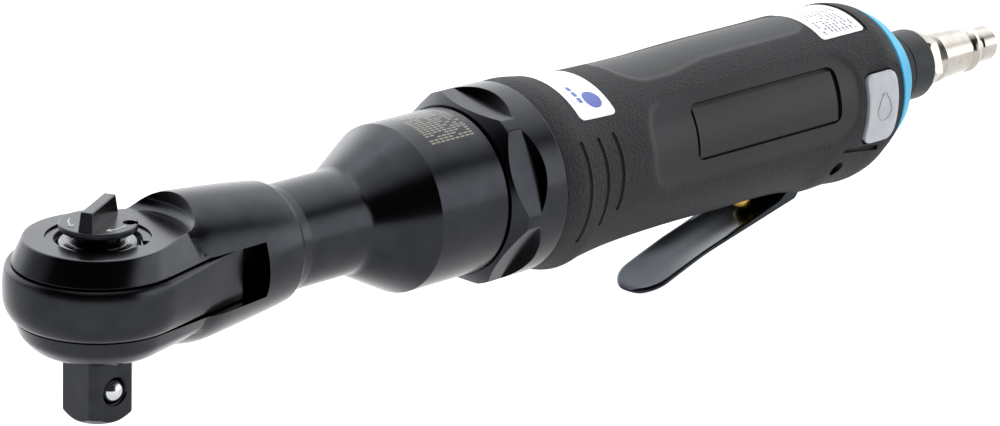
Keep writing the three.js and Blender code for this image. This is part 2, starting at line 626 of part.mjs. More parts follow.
// Motor
add('clamp_ring', clampRing(), blackenedSteel);
add('front_end_plate', endPlate(105.8, 113.3, 100, 111.6), groundSteel);
add('front_bearing', turnedX(tube(106.2, 111.2, 9.0, 4.25), MEDIUM), brightSteel);
add('rotor', rotorBody(), groundSteel);
for (let k = 0; k < VANES; k += 1) {
  const vane = block(MOTOR_START + 0.7, MOTOR_END - 0.7, -0.8, 0.8, 5.4, 12.1);
  add(`rotor_vane_${k + 1}`, vane, vaneResin).rotation.x = radians(vaneAngle(k));
}
add('motor_cylinder', motorCylinder(), groundSteel);
add('cylinder_dowel', rod([107, 0, DOWEL_HEIGHT], [171, 0, DOWEL_HEIGHT], 1.2, TINY), groundSteel);
add('rear_end_plate', endPlate(165.1, 172.4, 167.0, 180), groundSteel);
add('rear_bearing', turnedX(tube(167.4, 172.2, 9.0, 4.25), MEDIUM), brightSteel);
add('motor_housing', motorHousing(), castAluminium);

// Grip and throttle
add('grip_sleeve', gripSleeve(), blackComposite);
add('front_label', label(138.0, 151.5, 44, 104), labelFilm);
add('rear_label', label(235.0, 252.0, 57, 105), labelFilm);
add('oil_port_plug', oilPortPlug(), greyRubber);
add('throttle_lever', throttleLever(), blackenedSteel);
const [pinNear, pinFar] = [-16.5, 16.5].map((y) => [LEVER_PIN[0], y, LEVER_PIN[1]]);
add('lever_pin', rod(pinNear, pinFar, 1.4, SMALL), groundSteel);
const valve = new THREE.Group();
valve.position.x = VALVE_X;
tool.add(valve);
add('valve_stem', turnedZ([[STEM_TIP, 0], [STEM_TIP, 1.6], [STEM_TIP + 0.9, 2.5], [-24.4, 2.5], [-24.4, 1.5],
  [-3.6, 1.5], [-3.6, 0]], SMALL), brass, valve);
add('valve_stem_seal', turnedZ(tube(-19.0, -17.2, 2.9, 1.7), SMALL), blackRubber, valve);
add('valve_bushing', valveBushing(), brass, valve);
add('valve_ball', solid(new THREE.SphereGeometry(3.3, 12, 6).translate(0, 0, -0.1)), brightSteel, valve);
add('valve_spring', turnedZ(tube(3.5, 11.6, 3.0, 2.2), SMALL), springSteel, valve);

// Exhaust and inlet
add('exhaust_deflector', turnedX([[GRIP_END + 0.3, 19.6], [GRIP_END + 0.3, 21.5], [265.6, 18.6],
  [EXHAUST_END, EXHAUST_R], [EXHAUST_END, 12.6], [265.0, 16.6], [GRIP_END + 0.3, 19.6]], FINE), blueAcetal);
add('muffler_felt', turnedX([[257.0, 10.2], [257.0, 18.4], [261.0, 18.0], [268.6, 13.6], [268.6, 10.2],
  [257.0, 10.2]], MEDIUM), greyFelt);
add('inlet_bushing', inletBushing(), blackenedSteel);
add('inlet_screen', turnedX([
  [274.0, 0], [274.0, 3.2], [279.2, 3.2], [279.2, 2.6], [274.6, 2.6], [274.6, 0],
], SMALL), steelMesh);
add('nipple_seal', turnedX(tube(287.8, 288.6, 8.4, 6.7), MEDIUM), blackRubber);
add('inlet_nipple', nipple(), nickelPlate);

export default tool;
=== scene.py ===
# %% [markdown]
# # An air ratchet, made piece by piece
# An air ratchet is a slim power wrench. Air comes in at the back, spins a small vane motor in the grip, and
# a gear train and an eccentric crank swing a toothed yoke in the head, which turns the square drive in
# steps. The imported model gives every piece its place, so the first step is to load it and to note its box.

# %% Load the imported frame
import json
import math

import bmesh
import bpy
import numpy as np
from mathutils import Matrix, Vector


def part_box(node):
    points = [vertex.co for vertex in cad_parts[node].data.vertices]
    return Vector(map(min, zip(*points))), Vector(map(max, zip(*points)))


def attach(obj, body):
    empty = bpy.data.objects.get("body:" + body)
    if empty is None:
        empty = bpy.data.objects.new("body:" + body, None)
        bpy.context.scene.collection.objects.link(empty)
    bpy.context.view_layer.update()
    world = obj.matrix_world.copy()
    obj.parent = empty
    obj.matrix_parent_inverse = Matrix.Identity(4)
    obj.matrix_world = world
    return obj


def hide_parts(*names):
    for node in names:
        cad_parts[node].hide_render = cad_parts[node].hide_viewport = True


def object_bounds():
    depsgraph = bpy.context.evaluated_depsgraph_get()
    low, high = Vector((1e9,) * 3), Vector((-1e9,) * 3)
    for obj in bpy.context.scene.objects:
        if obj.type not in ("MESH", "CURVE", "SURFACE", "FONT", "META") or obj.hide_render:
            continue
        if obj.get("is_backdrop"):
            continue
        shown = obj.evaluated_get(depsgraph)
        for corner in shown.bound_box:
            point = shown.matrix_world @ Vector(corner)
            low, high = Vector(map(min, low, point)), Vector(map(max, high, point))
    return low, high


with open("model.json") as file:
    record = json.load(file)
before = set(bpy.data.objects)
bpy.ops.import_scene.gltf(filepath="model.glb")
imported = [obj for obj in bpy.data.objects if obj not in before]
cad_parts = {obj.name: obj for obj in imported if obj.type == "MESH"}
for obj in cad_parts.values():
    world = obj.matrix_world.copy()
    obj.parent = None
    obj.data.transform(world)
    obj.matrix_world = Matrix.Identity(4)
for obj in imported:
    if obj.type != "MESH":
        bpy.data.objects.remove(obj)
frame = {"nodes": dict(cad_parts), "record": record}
cad_low, cad_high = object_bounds()

# %% [markdown]
# A turned tool is easiest to draw in millimetres about its own axis, as a lathe operator sees it: x runs
# from the drive to the air inlet, and z = 0 is the axis. The finished mesh is then scaled to metres and
# lifted once. The other way, typing metres in the world frame, would bury every radius under the height of
# the axis.

# %% The tool's own frame, in millimetres
MM = 0.001
ring_low, ring_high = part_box("clamp_ring")
AXIS_HEIGHT = (ring_low.z + ring_high.z) / 2
TO_WORLD = Matrix.Translation((0, 0, AXIS_HEIGHT)) @ Matrix.Scale(MM, 4)


def cad(node):
    """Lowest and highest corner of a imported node, in millimetres in the tool's frame."""
    low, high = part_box(node)
    lift = Vector((0, 0, AXIS_HEIGHT))
    return (low - lift) / MM, (high - lift) / MM


HOME = {n: body for body, members in frame["record"]["behaviour"]["bodies"].items() for n in members}
SLOT = {part["node"]: part["material_slot"] for part in frame["record"]["subparts"]}
print(f"the tool's axis lies {AXIS_HEIGHT / MM:.1f} mm above the drive's end face")

# %% [markdown]
# ## Camera and studio
# The camera stands ahead of the drive and to its side, a little above, with a long lens, as for a
# catalogue. It is placed by its angles, so each of them can be tried on its own.

# %% Camera
VIEW_AZIMUTH = math.radians(45.667)
VIEW_DROP = math.radians(18.849)
VIEW_ROLL = math.radians(2.346)
VIEW_FROM = Vector((-0.48744, -0.60118, 0.31458))
FOCAL_MM = 131.55

right = Vector((math.cos(VIEW_AZIMUTH), -math.sin(VIEW_AZIMUTH), 0))
ahead = Vector((math.sin(VIEW_AZIMUTH) * math.cos(VIEW_DROP), math.cos(VIEW_AZIMUTH) * math.cos(VIEW_DROP),
                -math.sin(VIEW_DROP)))
up = right.cross(ahead)
tilted_right = math.cos(VIEW_ROLL) * right + math.sin(VIEW_ROLL) * up
tilted_up = math.cos(VIEW_ROLL) * up - math.sin(VIEW_ROLL) * right
lens = bpy.data.cameras.new("studio_camera")
lens.lens = FOCAL_MM
lens.clip_start = 0.01
camera = bpy.data.objects.new("studio_camera", lens)
bpy.context.scene.collection.objects.link(camera)
camera.matrix_world = Matrix.Translation(VIEW_FROM) @ Matrix(
    (tilted_right, tilted_up, -ahead)).transposed().to_4x4()
bpy.context.scene.camera = camera
bpy.context.scene.view_settings.view_transform = "Standard"
print("camera looks along", tuple(round(v, 2) for v in ahead))

# %% [markdown]
# Trees of nodes are used for every finish, for the studio's walls and for the rules that repeat a shape.
# One small function adds a node with its settings and links, so that a tree reads as a short list.


# %% One helper for every node tree
def node(tree, kind, values=None, links=None, **settings):
    """Adds a node; values and links are keyed by the input's name or number."""
    made = tree.nodes.new(kind)
    for key, value in settings.items():
        setattr(made, key, value)
    for key, value in (values or {}).items():
        made.inputs[key].default_value = value
    for key, source in (links or {}).items():
        tree.links.new(source, made.inputs[key])
    return made


def colour(code):
    """An sRGB hex colour as the linear values that a shader takes."""
    parts = [int(code[i:i + 2], 16) / 255 for i in (1, 3, 5)]
    return [c / 12.92 if c <= 0.04045 else ((c + 0.055) / 1.055) ** 2.4 for c in parts] + [1.0]


def per_mm(size):
    """The scale that gives a pattern features of this size in millimetres."""
    return 1 / (size * MM)


print("a 0.5 mm grain has scale", per_mm(0.5))

# %% [markdown]
# Black steel shows what it reflects more than its own colour. The studio is dark where the camera stands; a
# long softbox to the right and a bright rear wall and ceiling give the soft bands that run along a turned
# part. They are lobes of light painted on the world, which is quicker to render than real panels.

# %% Studio walls
# Each row: degrees round from the near side towards the nipple, degrees up, inner and outer spread, power.
PANELS = [
    (40, 6, 12, 36, 2.6),       # long softbox, its near end
    (82, 5, 12, 32, 2.2),       # long softbox, its far end
    (95, 50, 10, 35, 0.9),      # fill above the softbox
    (140, 25, 30, 75, 1.6),     # rear wall
    (180, 38, 18, 50, 1.5),     # rear wall, upper part
    (-150, 10, 15, 45, 0.6),    # rear wall, to the left
    (0, 90, 15, 45, 1.5),       # ceiling
]
DARKEST = 0.03

world = bpy.data.worlds.new("studio_walls")
bpy.context.scene.world = world
world.use_nodes = True
walls = world.node_tree
direction = node(walls, "ShaderNodeTexCoord").outputs["Generated"]
total = None
for round_degrees, up_degrees, inner, outer, power in PANELS:
    turn, up = math.radians(round_degrees), math.radians(up_degrees)
    centre = (math.sin(turn) * math.cos(up), -math.cos(turn) * math.cos(up), math.sin(up))
    toward = node(walls, "ShaderNodeVectorMath", {1: centre}, {0: direction}, operation="DOT_PRODUCT")
    faint, full = math.cos(math.radians(outer)), math.cos(math.radians(inner))
    lobe = node(walls, "ShaderNodeMapRange", {1: faint, 2: full, 3: 0.0, 4: power},
                {0: toward.outputs["Value"]}, interpolation_type="SMOOTHSTEP")
    add = node(walls, "ShaderNodeMath", {1: DARKEST}, {0: lobe.outputs[0]}, operation="ADD")
    if total:
        walls.links.new(total, add.inputs[1])
    total = add.outputs[0]
walls.links.new(total, walls.nodes["Background"].inputs["Strength"])
walls.nodes["Background"].inputs["Color"].default_value = colour("#fbfdff")
print("walls drawn with", len(PANELS), "lobes")

# %% [markdown]
# The tool stands on a light table: white acrylic lit from below, so that it casts no shadow and the lower
# edges of its steel are bright. A weak lamp overhead lets pieces shade each other.

# %% Lamp and light table
lamp = bpy.data.lights.new("ceiling_softbox", "AREA")
lamp.shape = "RECTANGLE"
lamp.size = 1.4
lamp.size_y = 0.9
lamp.energy = 2.0
stand = bpy.data.objects.new("ceiling_softbox", lamp)
bpy.context.scene.collection.objects.link(stand)
stand.location = (0.15, 0.1, 1.3)

bpy.ops.mesh.primitive_plane_add(size=12, location=(0, 0, cad_low.z - 0.0004))
floor = bpy.context.object
floor.name = "studio_floor"
table = bpy.data.materials.new("lit_white_acrylic")
table.use_nodes = True
sheet = table.node_tree
cloud = node(sheet, "ShaderNodeTexNoise", {"Scale": 2.0, "Detail": 2.0},
             {"Vector": node(sheet, "ShaderNodeTexCoord").outputs["Object"]})
ramp = node(sheet, "ShaderNodeValToRGB", links={0: cloud.outputs[0]})
ramp.color_ramp.elements[0].color = colour("#fafafb")
ramp.color_ramp.elements[1].color = colour("#ffffff")
acrylic = sheet.nodes["Principled BSDF"]
sheet.links.new(ramp.outputs[0], acrylic.inputs["Emission Color"])
acrylic.inputs["Base Color"].default_value = colour("#8a8a8b")
acrylic.inputs["Emission Strength"].default_value = 0.95
acrylic.inputs["Roughness"].default_value = 0.8
floor.data.materials.append(table)
floor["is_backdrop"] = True
print("floor at", round(cad_low.z, 4), "m")

# %% [markdown]
# ## Finishes
# Most finishes here are one recipe: a colour that drifts slightly from place to place, and a fine relief
# that also breaks up the gloss. What differs from metal to moulding is how large the drift is and how deep
# the relief. The recipe reads Object coordinates, so nothing has to be unwrapped.


# %% The recipe that the finishes share
def finish(name, light, dark, metallic, smooth, rough, drift_mm, grain_mm, depth_mm, **sockets):
    """A material whose colour runs from dark to light and whose roughness runs from smooth to rough."""
    made = bpy.data.materials.new(name)
    made.use_nodes = True
    tree = made.node_tree
    shader = tree.nodes["Principled BSDF"]
    place = node(tree, "ShaderNodeTexCoord")
    drift = node(tree, "ShaderNodeTexNoise", {"Scale": per_mm(drift_mm), "Detail": 4.0},
                 {"Vector": place.outputs["Object"]})
    tone = node(tree, "ShaderNodeValToRGB", links={0: drift.outputs[0]})
    tone.name = "tone"
    tone.color_ramp.elements[0].position = 0.3
    tone.color_ramp.elements[1].position = 0.7
    tone.color_ramp.elements[0].color = colour(dark)
    tone.color_ramp.elements[1].color = colour(light)
    grain = node(tree, "ShaderNodeTexNoise", {"Scale": per_mm(grain_mm), "Detail": 2.0},
                 {"Vector": place.outputs["Object"]})
    grain.name = "grain"
    gloss = node(tree, "ShaderNodeMapRange", {1: 0.3, 2: 0.7, 3: smooth, 4: rough}, {0: grain.outputs[0]})
    relief = node(tree, "ShaderNodeBump", {"Strength": 1.0, "Distance": depth_mm * MM},
                  {"Height": grain.outputs[0]})
    relief.name = "relief"
    tree.links.new(tone.outputs[0], shader.inputs["Base Color"])
    tree.links.new(gloss.outputs[0], shader.inputs["Roughness"])
    tree.links.new(relief.outputs[0], shader.inputs["Normal"])
    shader.inputs["Metallic"].default_value = metallic
    for key, value in sockets.items():
        shader.inputs[key.replace("_", " ")].default_value = value
    return made


# Black oxide is a thin skin on polished steel: nearly black, with a metal's sharp, soft-edged reflections.
blackened = finish("black_oxide_steel", "#323336", "#2b2c2f", 1.0, 0.17, 0.25, 6.0, 0.22, 0.001)
# The knob has its own copy of the same skin. It is painted a little lighter, as a painted highlight for its
# lit top, and its gloss is less even.
knob_black_painted_lighter = finish("black_oxide_steel_handled", "#353638", "#2b2c2e", 1.0, 0.2, 0.32, 3.0, 0.2, 0.002)
# Phosphate is a crystalline coat: black too, but matt.
phosphated = finish("phosphate_coated_steel", "#2b2c2e", "#252628", 0.8, 0.42, 0.55, 4.0, 0.3, 0.004)
# Rolled sheet keeps a slight waviness and a bluish tone under its oxide.
pressed_black = finish("black_oxide_pressed_sheet", "#2f3237", "#282b30", 1.0, 0.2, 0.28, 8.0, 0.3, 0.001)
# Where the knob rubs, the oxide has gone and polished grey steel shows.
polished_black = finish("polished_black_steel", "#606164", "#4e4f52", 1.0, 0.1, 0.16, 4.0, 0.2, 0.0005)
# Balls and races are lapped, gear teeth and shafts are ground, and springs are drawn wire with oil on it.
bright = finish("polished_bearing_steel", "#c9cacc", "#bdbec0", 1.0, 0.1, 0.2, 2.0, 0.3, 0.0005)
ground = finish("ground_tool_steel", "#9b9da0", "#86888b", 1.0, 0.26, 0.42, 4.0, 0.15, 0.002)
spring_wire = finish("oiled_spring_wire", "#77797c", "#5f6164", 1.0, 0.25, 0.4, 1.5, 0.2, 0.001)
# Die-cast aluminium has a dull, slightly pitted skin, turned brass is yellow, and nickel plate is warm white.
cast = finish("die_cast_aluminium", "#a9abae", "#95979a", 1.0, 0.42, 0.6, 5.0, 0.5, 0.01)
brass = finish("turned_brass", "#d9b35a", "#c69c44", 1.0, 0.2, 0.32, 2.0, 0.2, 0.001)
nickel = finish("bright_nickel_plate", "#b3aea6", "#a59f96", 1.0, 0.12, 0.2, 3.0, 0.3, 0.0008)
# Rubber, felt, acetal and resin are not metals: their own colour shows, and gloss is faint.
black_rubber = finish("black_nitrile_rubber", "#1d1d1e", "#161617", 0.0, 0.6, 0.8, 2.0, 0.25, 0.01)
grey_rubber = finish("grey_silicone_rubber", "#b4b6bb", "#a9abb1", 0.0, 0.42, 0.55, 3.0, 0.3, 0.006)
cyan_acetal = finish("blue_moulded_acetal", "#049cc6", "#0394bc", 0.0, 0.38, 0.5, 6.0, 0.4, 0.003,
                     Specular_IOR_Level=0.2)
vane_resin = finish("brown_fibre_resin", "#6b4528", "#50331d", 0.0, 0.5, 0.7, 1.2, 0.2, 0.01)
felt = finish("pressed_grey_felt", "#93938e", "#7b7b76", 0.0, 0.9, 1.0, 0.8, 0.35, 0.08)
wire_cloth = finish("woven_steel_wire", "#b0b2b4", "#8a8c8e", 1.0, 0.3, 0.5, 0.8, 0.25, 0.03)
pale_ink = finish("pale_marking_paint", "#c4c5c2", "#adaeab", 0.2, 0.5, 0.7, 0.8, 0.2, 0.002)
print("finishes so far:", len(bpy.data.materials))

# %% [markdown]
# ## Tools of the workshop
# A turned part is an outline spun round an axis. Corners with a small radius catch the light as a thin
# line, so the outline's corners may carry one, and it is drawn as a true arc before the outline is spun.


# %% Outlines with rounded corners
def rounded(outline, closed=False):
    """Turns each (along, radius, fillet) corner into an arc; a corner without a fillet stays sharp."""
    points = []
    count = len(outline)
    for i, corner in enumerate(outline):
        here = Vector(corner[:2])
        at_end = not closed and i in (0, count - 1)
        if len(corner) < 3 or at_end:
            points.append(here)
            continue
        back = Vector(outline[i - 1][:2]) - here
        on = Vector(outline[(i + 1) % count][:2]) - here
        half = back.angle(on) / 2
        reach = min(corner[2] / math.tan(half), 0.49 * back.length, 0.49 * on.length)
        centre = here + (back.normalized() + on.normalized()).normalized() * (reach / math.cos(half))
        first, last = here + back.normalized() * reach - centre, here + on.normalized() * reach - centre
        swing = first.angle(last)
        steps = max(2, math.ceil(math.degrees(swing) / 18))
        for k in range(steps + 1):
            t = k / steps
            share = (math.sin((1 - t) * swing) * first + math.sin(t * swing) * last) / math.sin(swing)
            points.append(centre + share)
    return points


def new_object(name, mesh):
    """Puts a mesh in the scene."""
    made = bpy.data.objects.new(name, mesh)
    bpy.context.scene.collection.objects.link(made)
    return made


def from_rings(name, rings, wrap, capped=False):
    """Joins closed rings of points, one after the other; a ring of one point is a pole."""
    work = bmesh.new()
    rows = [[work.verts.new(p) for p in ring] for ring in rings]
    pairs = list(zip(rows, rows[1:] + rows[:1])) if wrap else list(zip(rows, rows[1:]))
    for low, high in pairs:
        count = max(len(low), len(high))
        for k in range(count):
            after = (k + 1) % count
            corners = [low[k % len(low)], low[after % len(low)], high[after % len(high)], high[k % len(high)]]
            face = list(dict.fromkeys(corners))
            if len(face) > 2:
                work.faces.new(face)
    if capped:
        work.faces.new(rows[0])
        work.faces.new(rows[-1])
    bmesh.ops.recalc_face_normals(work, faces=work.faces)
    mesh = bpy.data.meshes.new(name)
    work.to_mesh(mesh)
    work.free()
    return new_object(name, mesh)


def turned(name, outline, axis="X", sides=112, closed=False):
    """An outline of (along, radius) points spun about the tool's axis (X) or the drive's axis (Z)."""
    rings = []
    for along, radius in rounded(outline, closed):
        if radius < 1e-6:
            rings.append([(along, 0, 0) if axis == "X" else (0, 0, along)])
            continue
        ring = []
        for k in range(sides):
            a, b = (radius * f(2 * math.pi * k / sides) for f in (math.cos, math.sin))
            ring.append((along, a, b) if axis == "X" else (a, b, along))
        rings.append(ring)
    return from_rings(name, rings, closed)


def tube(along_from, along_to, outer, inner, fillet=0.2):
    """The outline of a plain ring."""
    return [(along_from, inner, fillet), (along_from, outer, fillet), (along_to, outer, fillet),
            (along_to, inner, fillet)]


print("a corner of 1 mm becomes", len(rounded([(0, 0), (5, 0, 1), (5, 5)])) - 2, "points")

# %% [markdown]
# Milled shapes are turned or flat blanks with pieces cut away, so they are made the same way here, with
# exact booleans. A narrow bevel afterwards stands for the broken edge that every machined part has.


# %% Blanks, cuts and broken edges
def block(name, low, high):
    """A box between two corners, as a blank or a cutter."""
    (x0, y0, z0), (x1, y1, z1) = low, high
    rings = [[(x, y0, z0), (x, y1, z0), (x, y1, z1), (x, y0, z1)] for x in (x0, x1)]
    return from_rings(name, rings, False, capped=True)


def rod(name, start, end, radius, sides=48):
    """A round bar between two points."""
    start, end = Vector(start), Vector(end)
    turn = (end - start).to_track_quat("Z", "Y")
    angles = [2 * math.pi * k / sides for k in range(sides)]
    ring = [turn @ Vector((radius * math.cos(a), radius * math.sin(a), 0)) for a in angles]
    return from_rings(name, [[start + p for p in ring], [end + p for p in ring]], False, capped=True)


def prism(name, outline, low, high, plane="XY"):
    """An outline pushed from low to high, square to its plane (XY or XZ)."""
    corners = rounded(outline, True)
    rings = [[(p.x, p.y, h) if plane == "XY" else (p.x, h, p.y) for p in corners] for h in (low, high)]
    return from_rings(name, rings, False, capped=True)


def baked(piece):
    """Applies what the modifiers show and drops them."""
    graph = bpy.context.evaluated_depsgraph_get()
    mesh = bpy.data.meshes.new_from_object(piece.evaluated_get(graph), depsgraph=graph)
    piece.modifiers.clear()
    piece.data = mesh
    return piece


def machined(piece, tools, how="DIFFERENCE"):
    """Cuts, joins or trims a blank with each tool in turn; the tools are used up."""
    for tool in tools:
        step = piece.modifiers.new(how.lower(), "BOOLEAN")
        step.operation = how
        step.solver = "EXACT"
        step.object = tool
    baked(piece)
    for tool in tools:
        bpy.data.objects.remove(tool)
    work = bmesh.new()
    work.from_mesh(piece.data)
    bmesh.ops.remove_doubles(work, verts=work.verts, dist=0.004)
    bmesh.ops.dissolve_degenerate(work, edges=work.edges, dist=0.004)
    work.to_mesh(piece.data)
    work.free()
    return piece


def edged(piece, width=0.2, sharper_than=32, segments=2):
    """Breaks the edges that are sharper than an angle."""
    step = piece.modifiers.new("broken_edge", "BEVEL")
    step.width = width
    step.segments = segments
    step.limit_method = "ANGLE"
    step.angle_limit = math.radians(sharper_than)
    step.use_clamp_overlap = True
    step.miter_outer = "MITER_ARC"
    return baked(piece)


# %% [markdown]
# Every finished piece takes the same last steps: into metres at its place, smooth shading with normals led
# by the large faces, its finish, and the body that it rides on, which is the home of the node it stands
# for.

# %% The last step of each piece
MADE = []


def placed(piece, name, material, nodes, body=None, sharp=38):
    """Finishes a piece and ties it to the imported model."""
    piece.name = piece.data.name = name
    piece.data.transform(TO_WORLD)
    piece.data.materials.clear()
    piece.data.materials.append(material)
    for face in piece.data.polygons:
        face.material_index = 0
        face.use_smooth = True
    piece.data.set_sharp_from_angle(angle=math.radians(sharp))
    weigh = piece.modifiers.new("lead_by_large_faces", "WEIGHTED_NORMAL")
    weigh.keep_sharp = True
    baked(piece)
    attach(piece, body or HOME[nodes[0]])
    if nodes:
        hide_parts(*nodes)
    triangles = sum(len(face.vertices) - 2 for face in piece.data.polygons)
    MADE.append((name, triangles))
    print(f"{name}: {triangles} triangles")
    return piece


# %% [markdown]
# ## Rules that repeat a shape
# Teeth, flats, ridges, balls and rollers are one shape repeated round an axis. A Geometry Nodes tree does
# this with a count and a starting angle, so a tooth count is one number. A Python loop could copy meshes
# too, but the tree keeps the rule in one place, and its inputs can be tried in the modifier panel.


# %% A tree for what repeats round an axis
def new_tree(title, sizes):
    """A tree with one shape in, one shape out, a finish, and the named sizes."""
    tree = bpy.data.node_groups.new(title, "GeometryNodeTree")
    tree.interface.new_socket("Shape", in_out="INPUT", socket_type="NodeSocketGeometry")
    for name, (kind, value) in sizes.items():
        socket = tree.interface.new_socket(name, in_out="INPUT", socket_type="NodeSocket" + kind)
        socket.default_value = value
    tree.interface.new_socket("Finish", in_out="INPUT", socket_type="NodeSocketMaterial")
    tree.interface.new_socket("Shape", in_out="OUTPUT", socket_type="NodeSocketGeometry")
    return tree, node(tree, "NodeGroupInput").outputs


def end_tree(tree, given, shape):
    """Makes instances real and gives them their finish."""
    real = node(tree, "GeometryNodeRealizeInstances", links={0: shape})
    dressed = node(tree, "GeometryNodeSetMaterial", links={
        "Geometry": real.outputs[0], "Material": given["Finish"]})
    node(tree, "NodeGroupOutput", links={0: dressed.outputs[0]})
    return tree


def grown(tree, start, material, **sizes):
    """Runs a tree on a starting shape. Inputs are set by identifier before the first evaluation."""
    rule = start.modifiers.new("rule", "NODES")
    rule.node_group = tree
    wanted = {name.replace("_", " "): value for name, value in sizes.items()}
    for socket in tree.interface.items_tree:
        if socket.in_out == "INPUT" and socket.name in wanted:
            rule[socket.identifier] = wanted[socket.name]
        if socket.in_out == "INPUT" and socket.name == "Finish":
            rule[socket.identifier] = material
    return baked(start)


round_axis, given = new_tree("copies_round_an_axis", {
    "Count": ("Int", 6), "Start": ("Float", 0.0), "Axis": ("Vector", (1.0, 0.0, 0.0))})
spots = node(round_axis, "GeometryNodePoints", links={"Count": given["Count"]})
step = node(round_axis, "ShaderNodeMath", {0: 2 * math.pi}, {1: given["Count"]}, operation="DIVIDE")
turn = node(round_axis, "ShaderNodeMath", links={
    0: node(round_axis, "GeometryNodeInputIndex").outputs[0], 1: step.outputs[0], 2: given["Start"]},
    operation="MULTIPLY_ADD")
aim = node(round_axis, "ShaderNodeVectorMath", links={
    0: given["Axis"], "Scale": turn.outputs[0]}, operation="SCALE")
copies = node(round_axis, "GeometryNodeInstanceOnPoints", links={
    "Points": spots.outputs[0], "Instance": given["Shape"], "Rotation": aim.outputs[0]})
end_tree(round_axis, given, copies.outputs[0])
print("tree:", round_axis.name)

# %% [markdown]
# A spring is wire on a helix, and a groove is a round cutter on a path. Both are a profile swept along a
# curve, so one tree makes its own helix and the other takes the path that it is given.

# %% Trees for springs and for grooves
coil, given = new_tree("coil_spring", {
    "Mean radius": ("Float", 2.5), "Wire radius": ("Float", 0.35), "Length": ("Float", 8.0),
    "Turns": ("Float", 6.0)})
helix = node(coil, "GeometryNodeCurveSpiral", {"Resolution": 20}, {
    "Rotations": given["Turns"], "Start Radius": given["Mean radius"], "End Radius": given["Mean radius"],
    "Height": given["Length"]})
wire = node(coil, "GeometryNodeCurvePrimitiveCircle", {"Resolution": 8}, {"Radius": given["Wire radius"]})
swept = node(coil, "GeometryNodeCurveToMesh", {"Fill Caps": True}, {
    "Curve": helix.outputs[0], "Profile Curve": wire.outputs[0]})
end_tree(coil, given, swept.outputs[0])

along_path, given = new_tree("round_cutter_on_a_path", {"Radius": ("Float", 0.5)})
path = node(along_path, "GeometryNodeMeshToCurve", links={0: given["Shape"]})
wire = node(along_path, "GeometryNodeCurvePrimitiveCircle", {"Resolution": 10}, {"Radius": given["Radius"]})
swept = node(along_path, "GeometryNodeCurveToMesh", {"Fill Caps": True}, {
    "Curve": path.outputs[0], "Profile Curve": wire.outputs[0]})
end_tree(along_path, given, swept.outputs[0])


def path_mesh(name, *lines):
    """Open lines of edges, as paths for the sweeping tree."""
    mesh = bpy.data.meshes.new(name)
    corners, edges = [], []
    for line in lines:
        edges += [(len(corners) + k, len(corners) + k + 1) for k in range(len(line) - 1)]
        corners += [tuple(p) for p in line]
    mesh.from_pydata(corners, edges, [])
    return new_object(name, mesh)


# %% [markdown]
# ## Head housing
# The forged housing is one piece from the rounded head to the gear case: two cheeks with a flat top, a
# short collar, a slim neck and a wide case. It is turned in two directions and joined, then the flat, the
# slot that the yoke swings in and the bores are cut, in the order in which a machinist would do it.

# %% Head housing
HEAD_TOP, HEAD_EDGE_R, CHEEK_R, SLOT_HALF, SLOT_END = 12.3, 16.9, 19.4, 6.6, 37.3
HEAD_BORE_R, DRIVE_BORE_R, GEAR_BORE_R = 12.0, 8.8, 17.4
NECK_R, CASE_R, CASE_END, SPIGOT_R = 12.8, 20.8, 109.9, 19.6


def tailed_ring(z, radius, tail_x, tail_half, arc_steps=112):
    """One level of the head: an arc about the drive, with two tangents to the ends of a straight tail."""
    reach = math.hypot(tail_x, tail_half)
    first = math.atan2(tail_half, tail_x) + math.acos(radius / reach)
    arc = [first + (2 * math.pi - 2 * first) * k / arc_steps for k in range(arc_steps + 1)]
    ring = [Vector((radius * math.cos(a), radius * math.sin(a), z)) for a in arc]
    near, far = Vector((tail_x, -tail_half, z)), Vector((tail_x, tail_half, z))
    side = [ring[-1].lerp(near, k / 14) for k in range(1, 15)]
    back = [near.lerp(far, k / 8) for k in range(1, 9)]
    return ring + side + back + [far.lerp(ring[0], k / 14) for k in range(1, 14)]


def cheek(name, outline, tail_half, tail_lost, tail_x=26.0):
    """A cheek of the head from its outline of (height, radius); beyond the slot its tail narrows."""
    rings = []
    for z, radius in rounded(outline):
        beyond = max(0, (abs(z) - SLOT_HALF) / (abs(outline[-1][0]) - SLOT_HALF))
        rings.append(tailed_ring(z, radius, tail_x, tail_half - tail_lost * min(beyond, 1) ** 1.5))
    return from_rings(name, rings, False, capped=True)


cheeks = cheek("upper_cheek", [
    (0, CHEEK_R), (SLOT_HALF, CHEEK_R), (SLOT_HALF + 0.4, CHEEK_R - 0.15), (HEAD_TOP, HEAD_EDGE_R, 0.45),
    (HEAD_TOP, HEAD_EDGE_R - 0.8)], 13.3, 7.0)
lower_cheek = cheek("lower_cheek", [
    (0, 18.9), (-SLOT_HALF, 18.9), (-10.2, 17.6, 5), (-13.2, 14.8, 6), (-15.2, 9.4, 2.5),
    (-15.2, 8.9)], 15.4, 10.5)
barrel = turned("barrel", [
    (9, 0), (9, 13.6), (12, 15.2), (14.5, 16.2), (17, 17.0), (20, 17.55), (23, 17.7), (27, 17.35),
    (31.5, 16.9), (36, 16.4, 8), (40, 15.95), (44.5, 15.4), (48.9, 14.75, 0.5), (50.6, 13.2, 0.9),
    (53.4, NECK_R, 3), (72.4, NECK_R, 5), (87.8, CASE_R, 0.8), (CASE_END, CASE_R, 0.5),
    (CASE_END, SPIGOT_R), (118, SPIGOT_R, 0.4), (118, 0)])
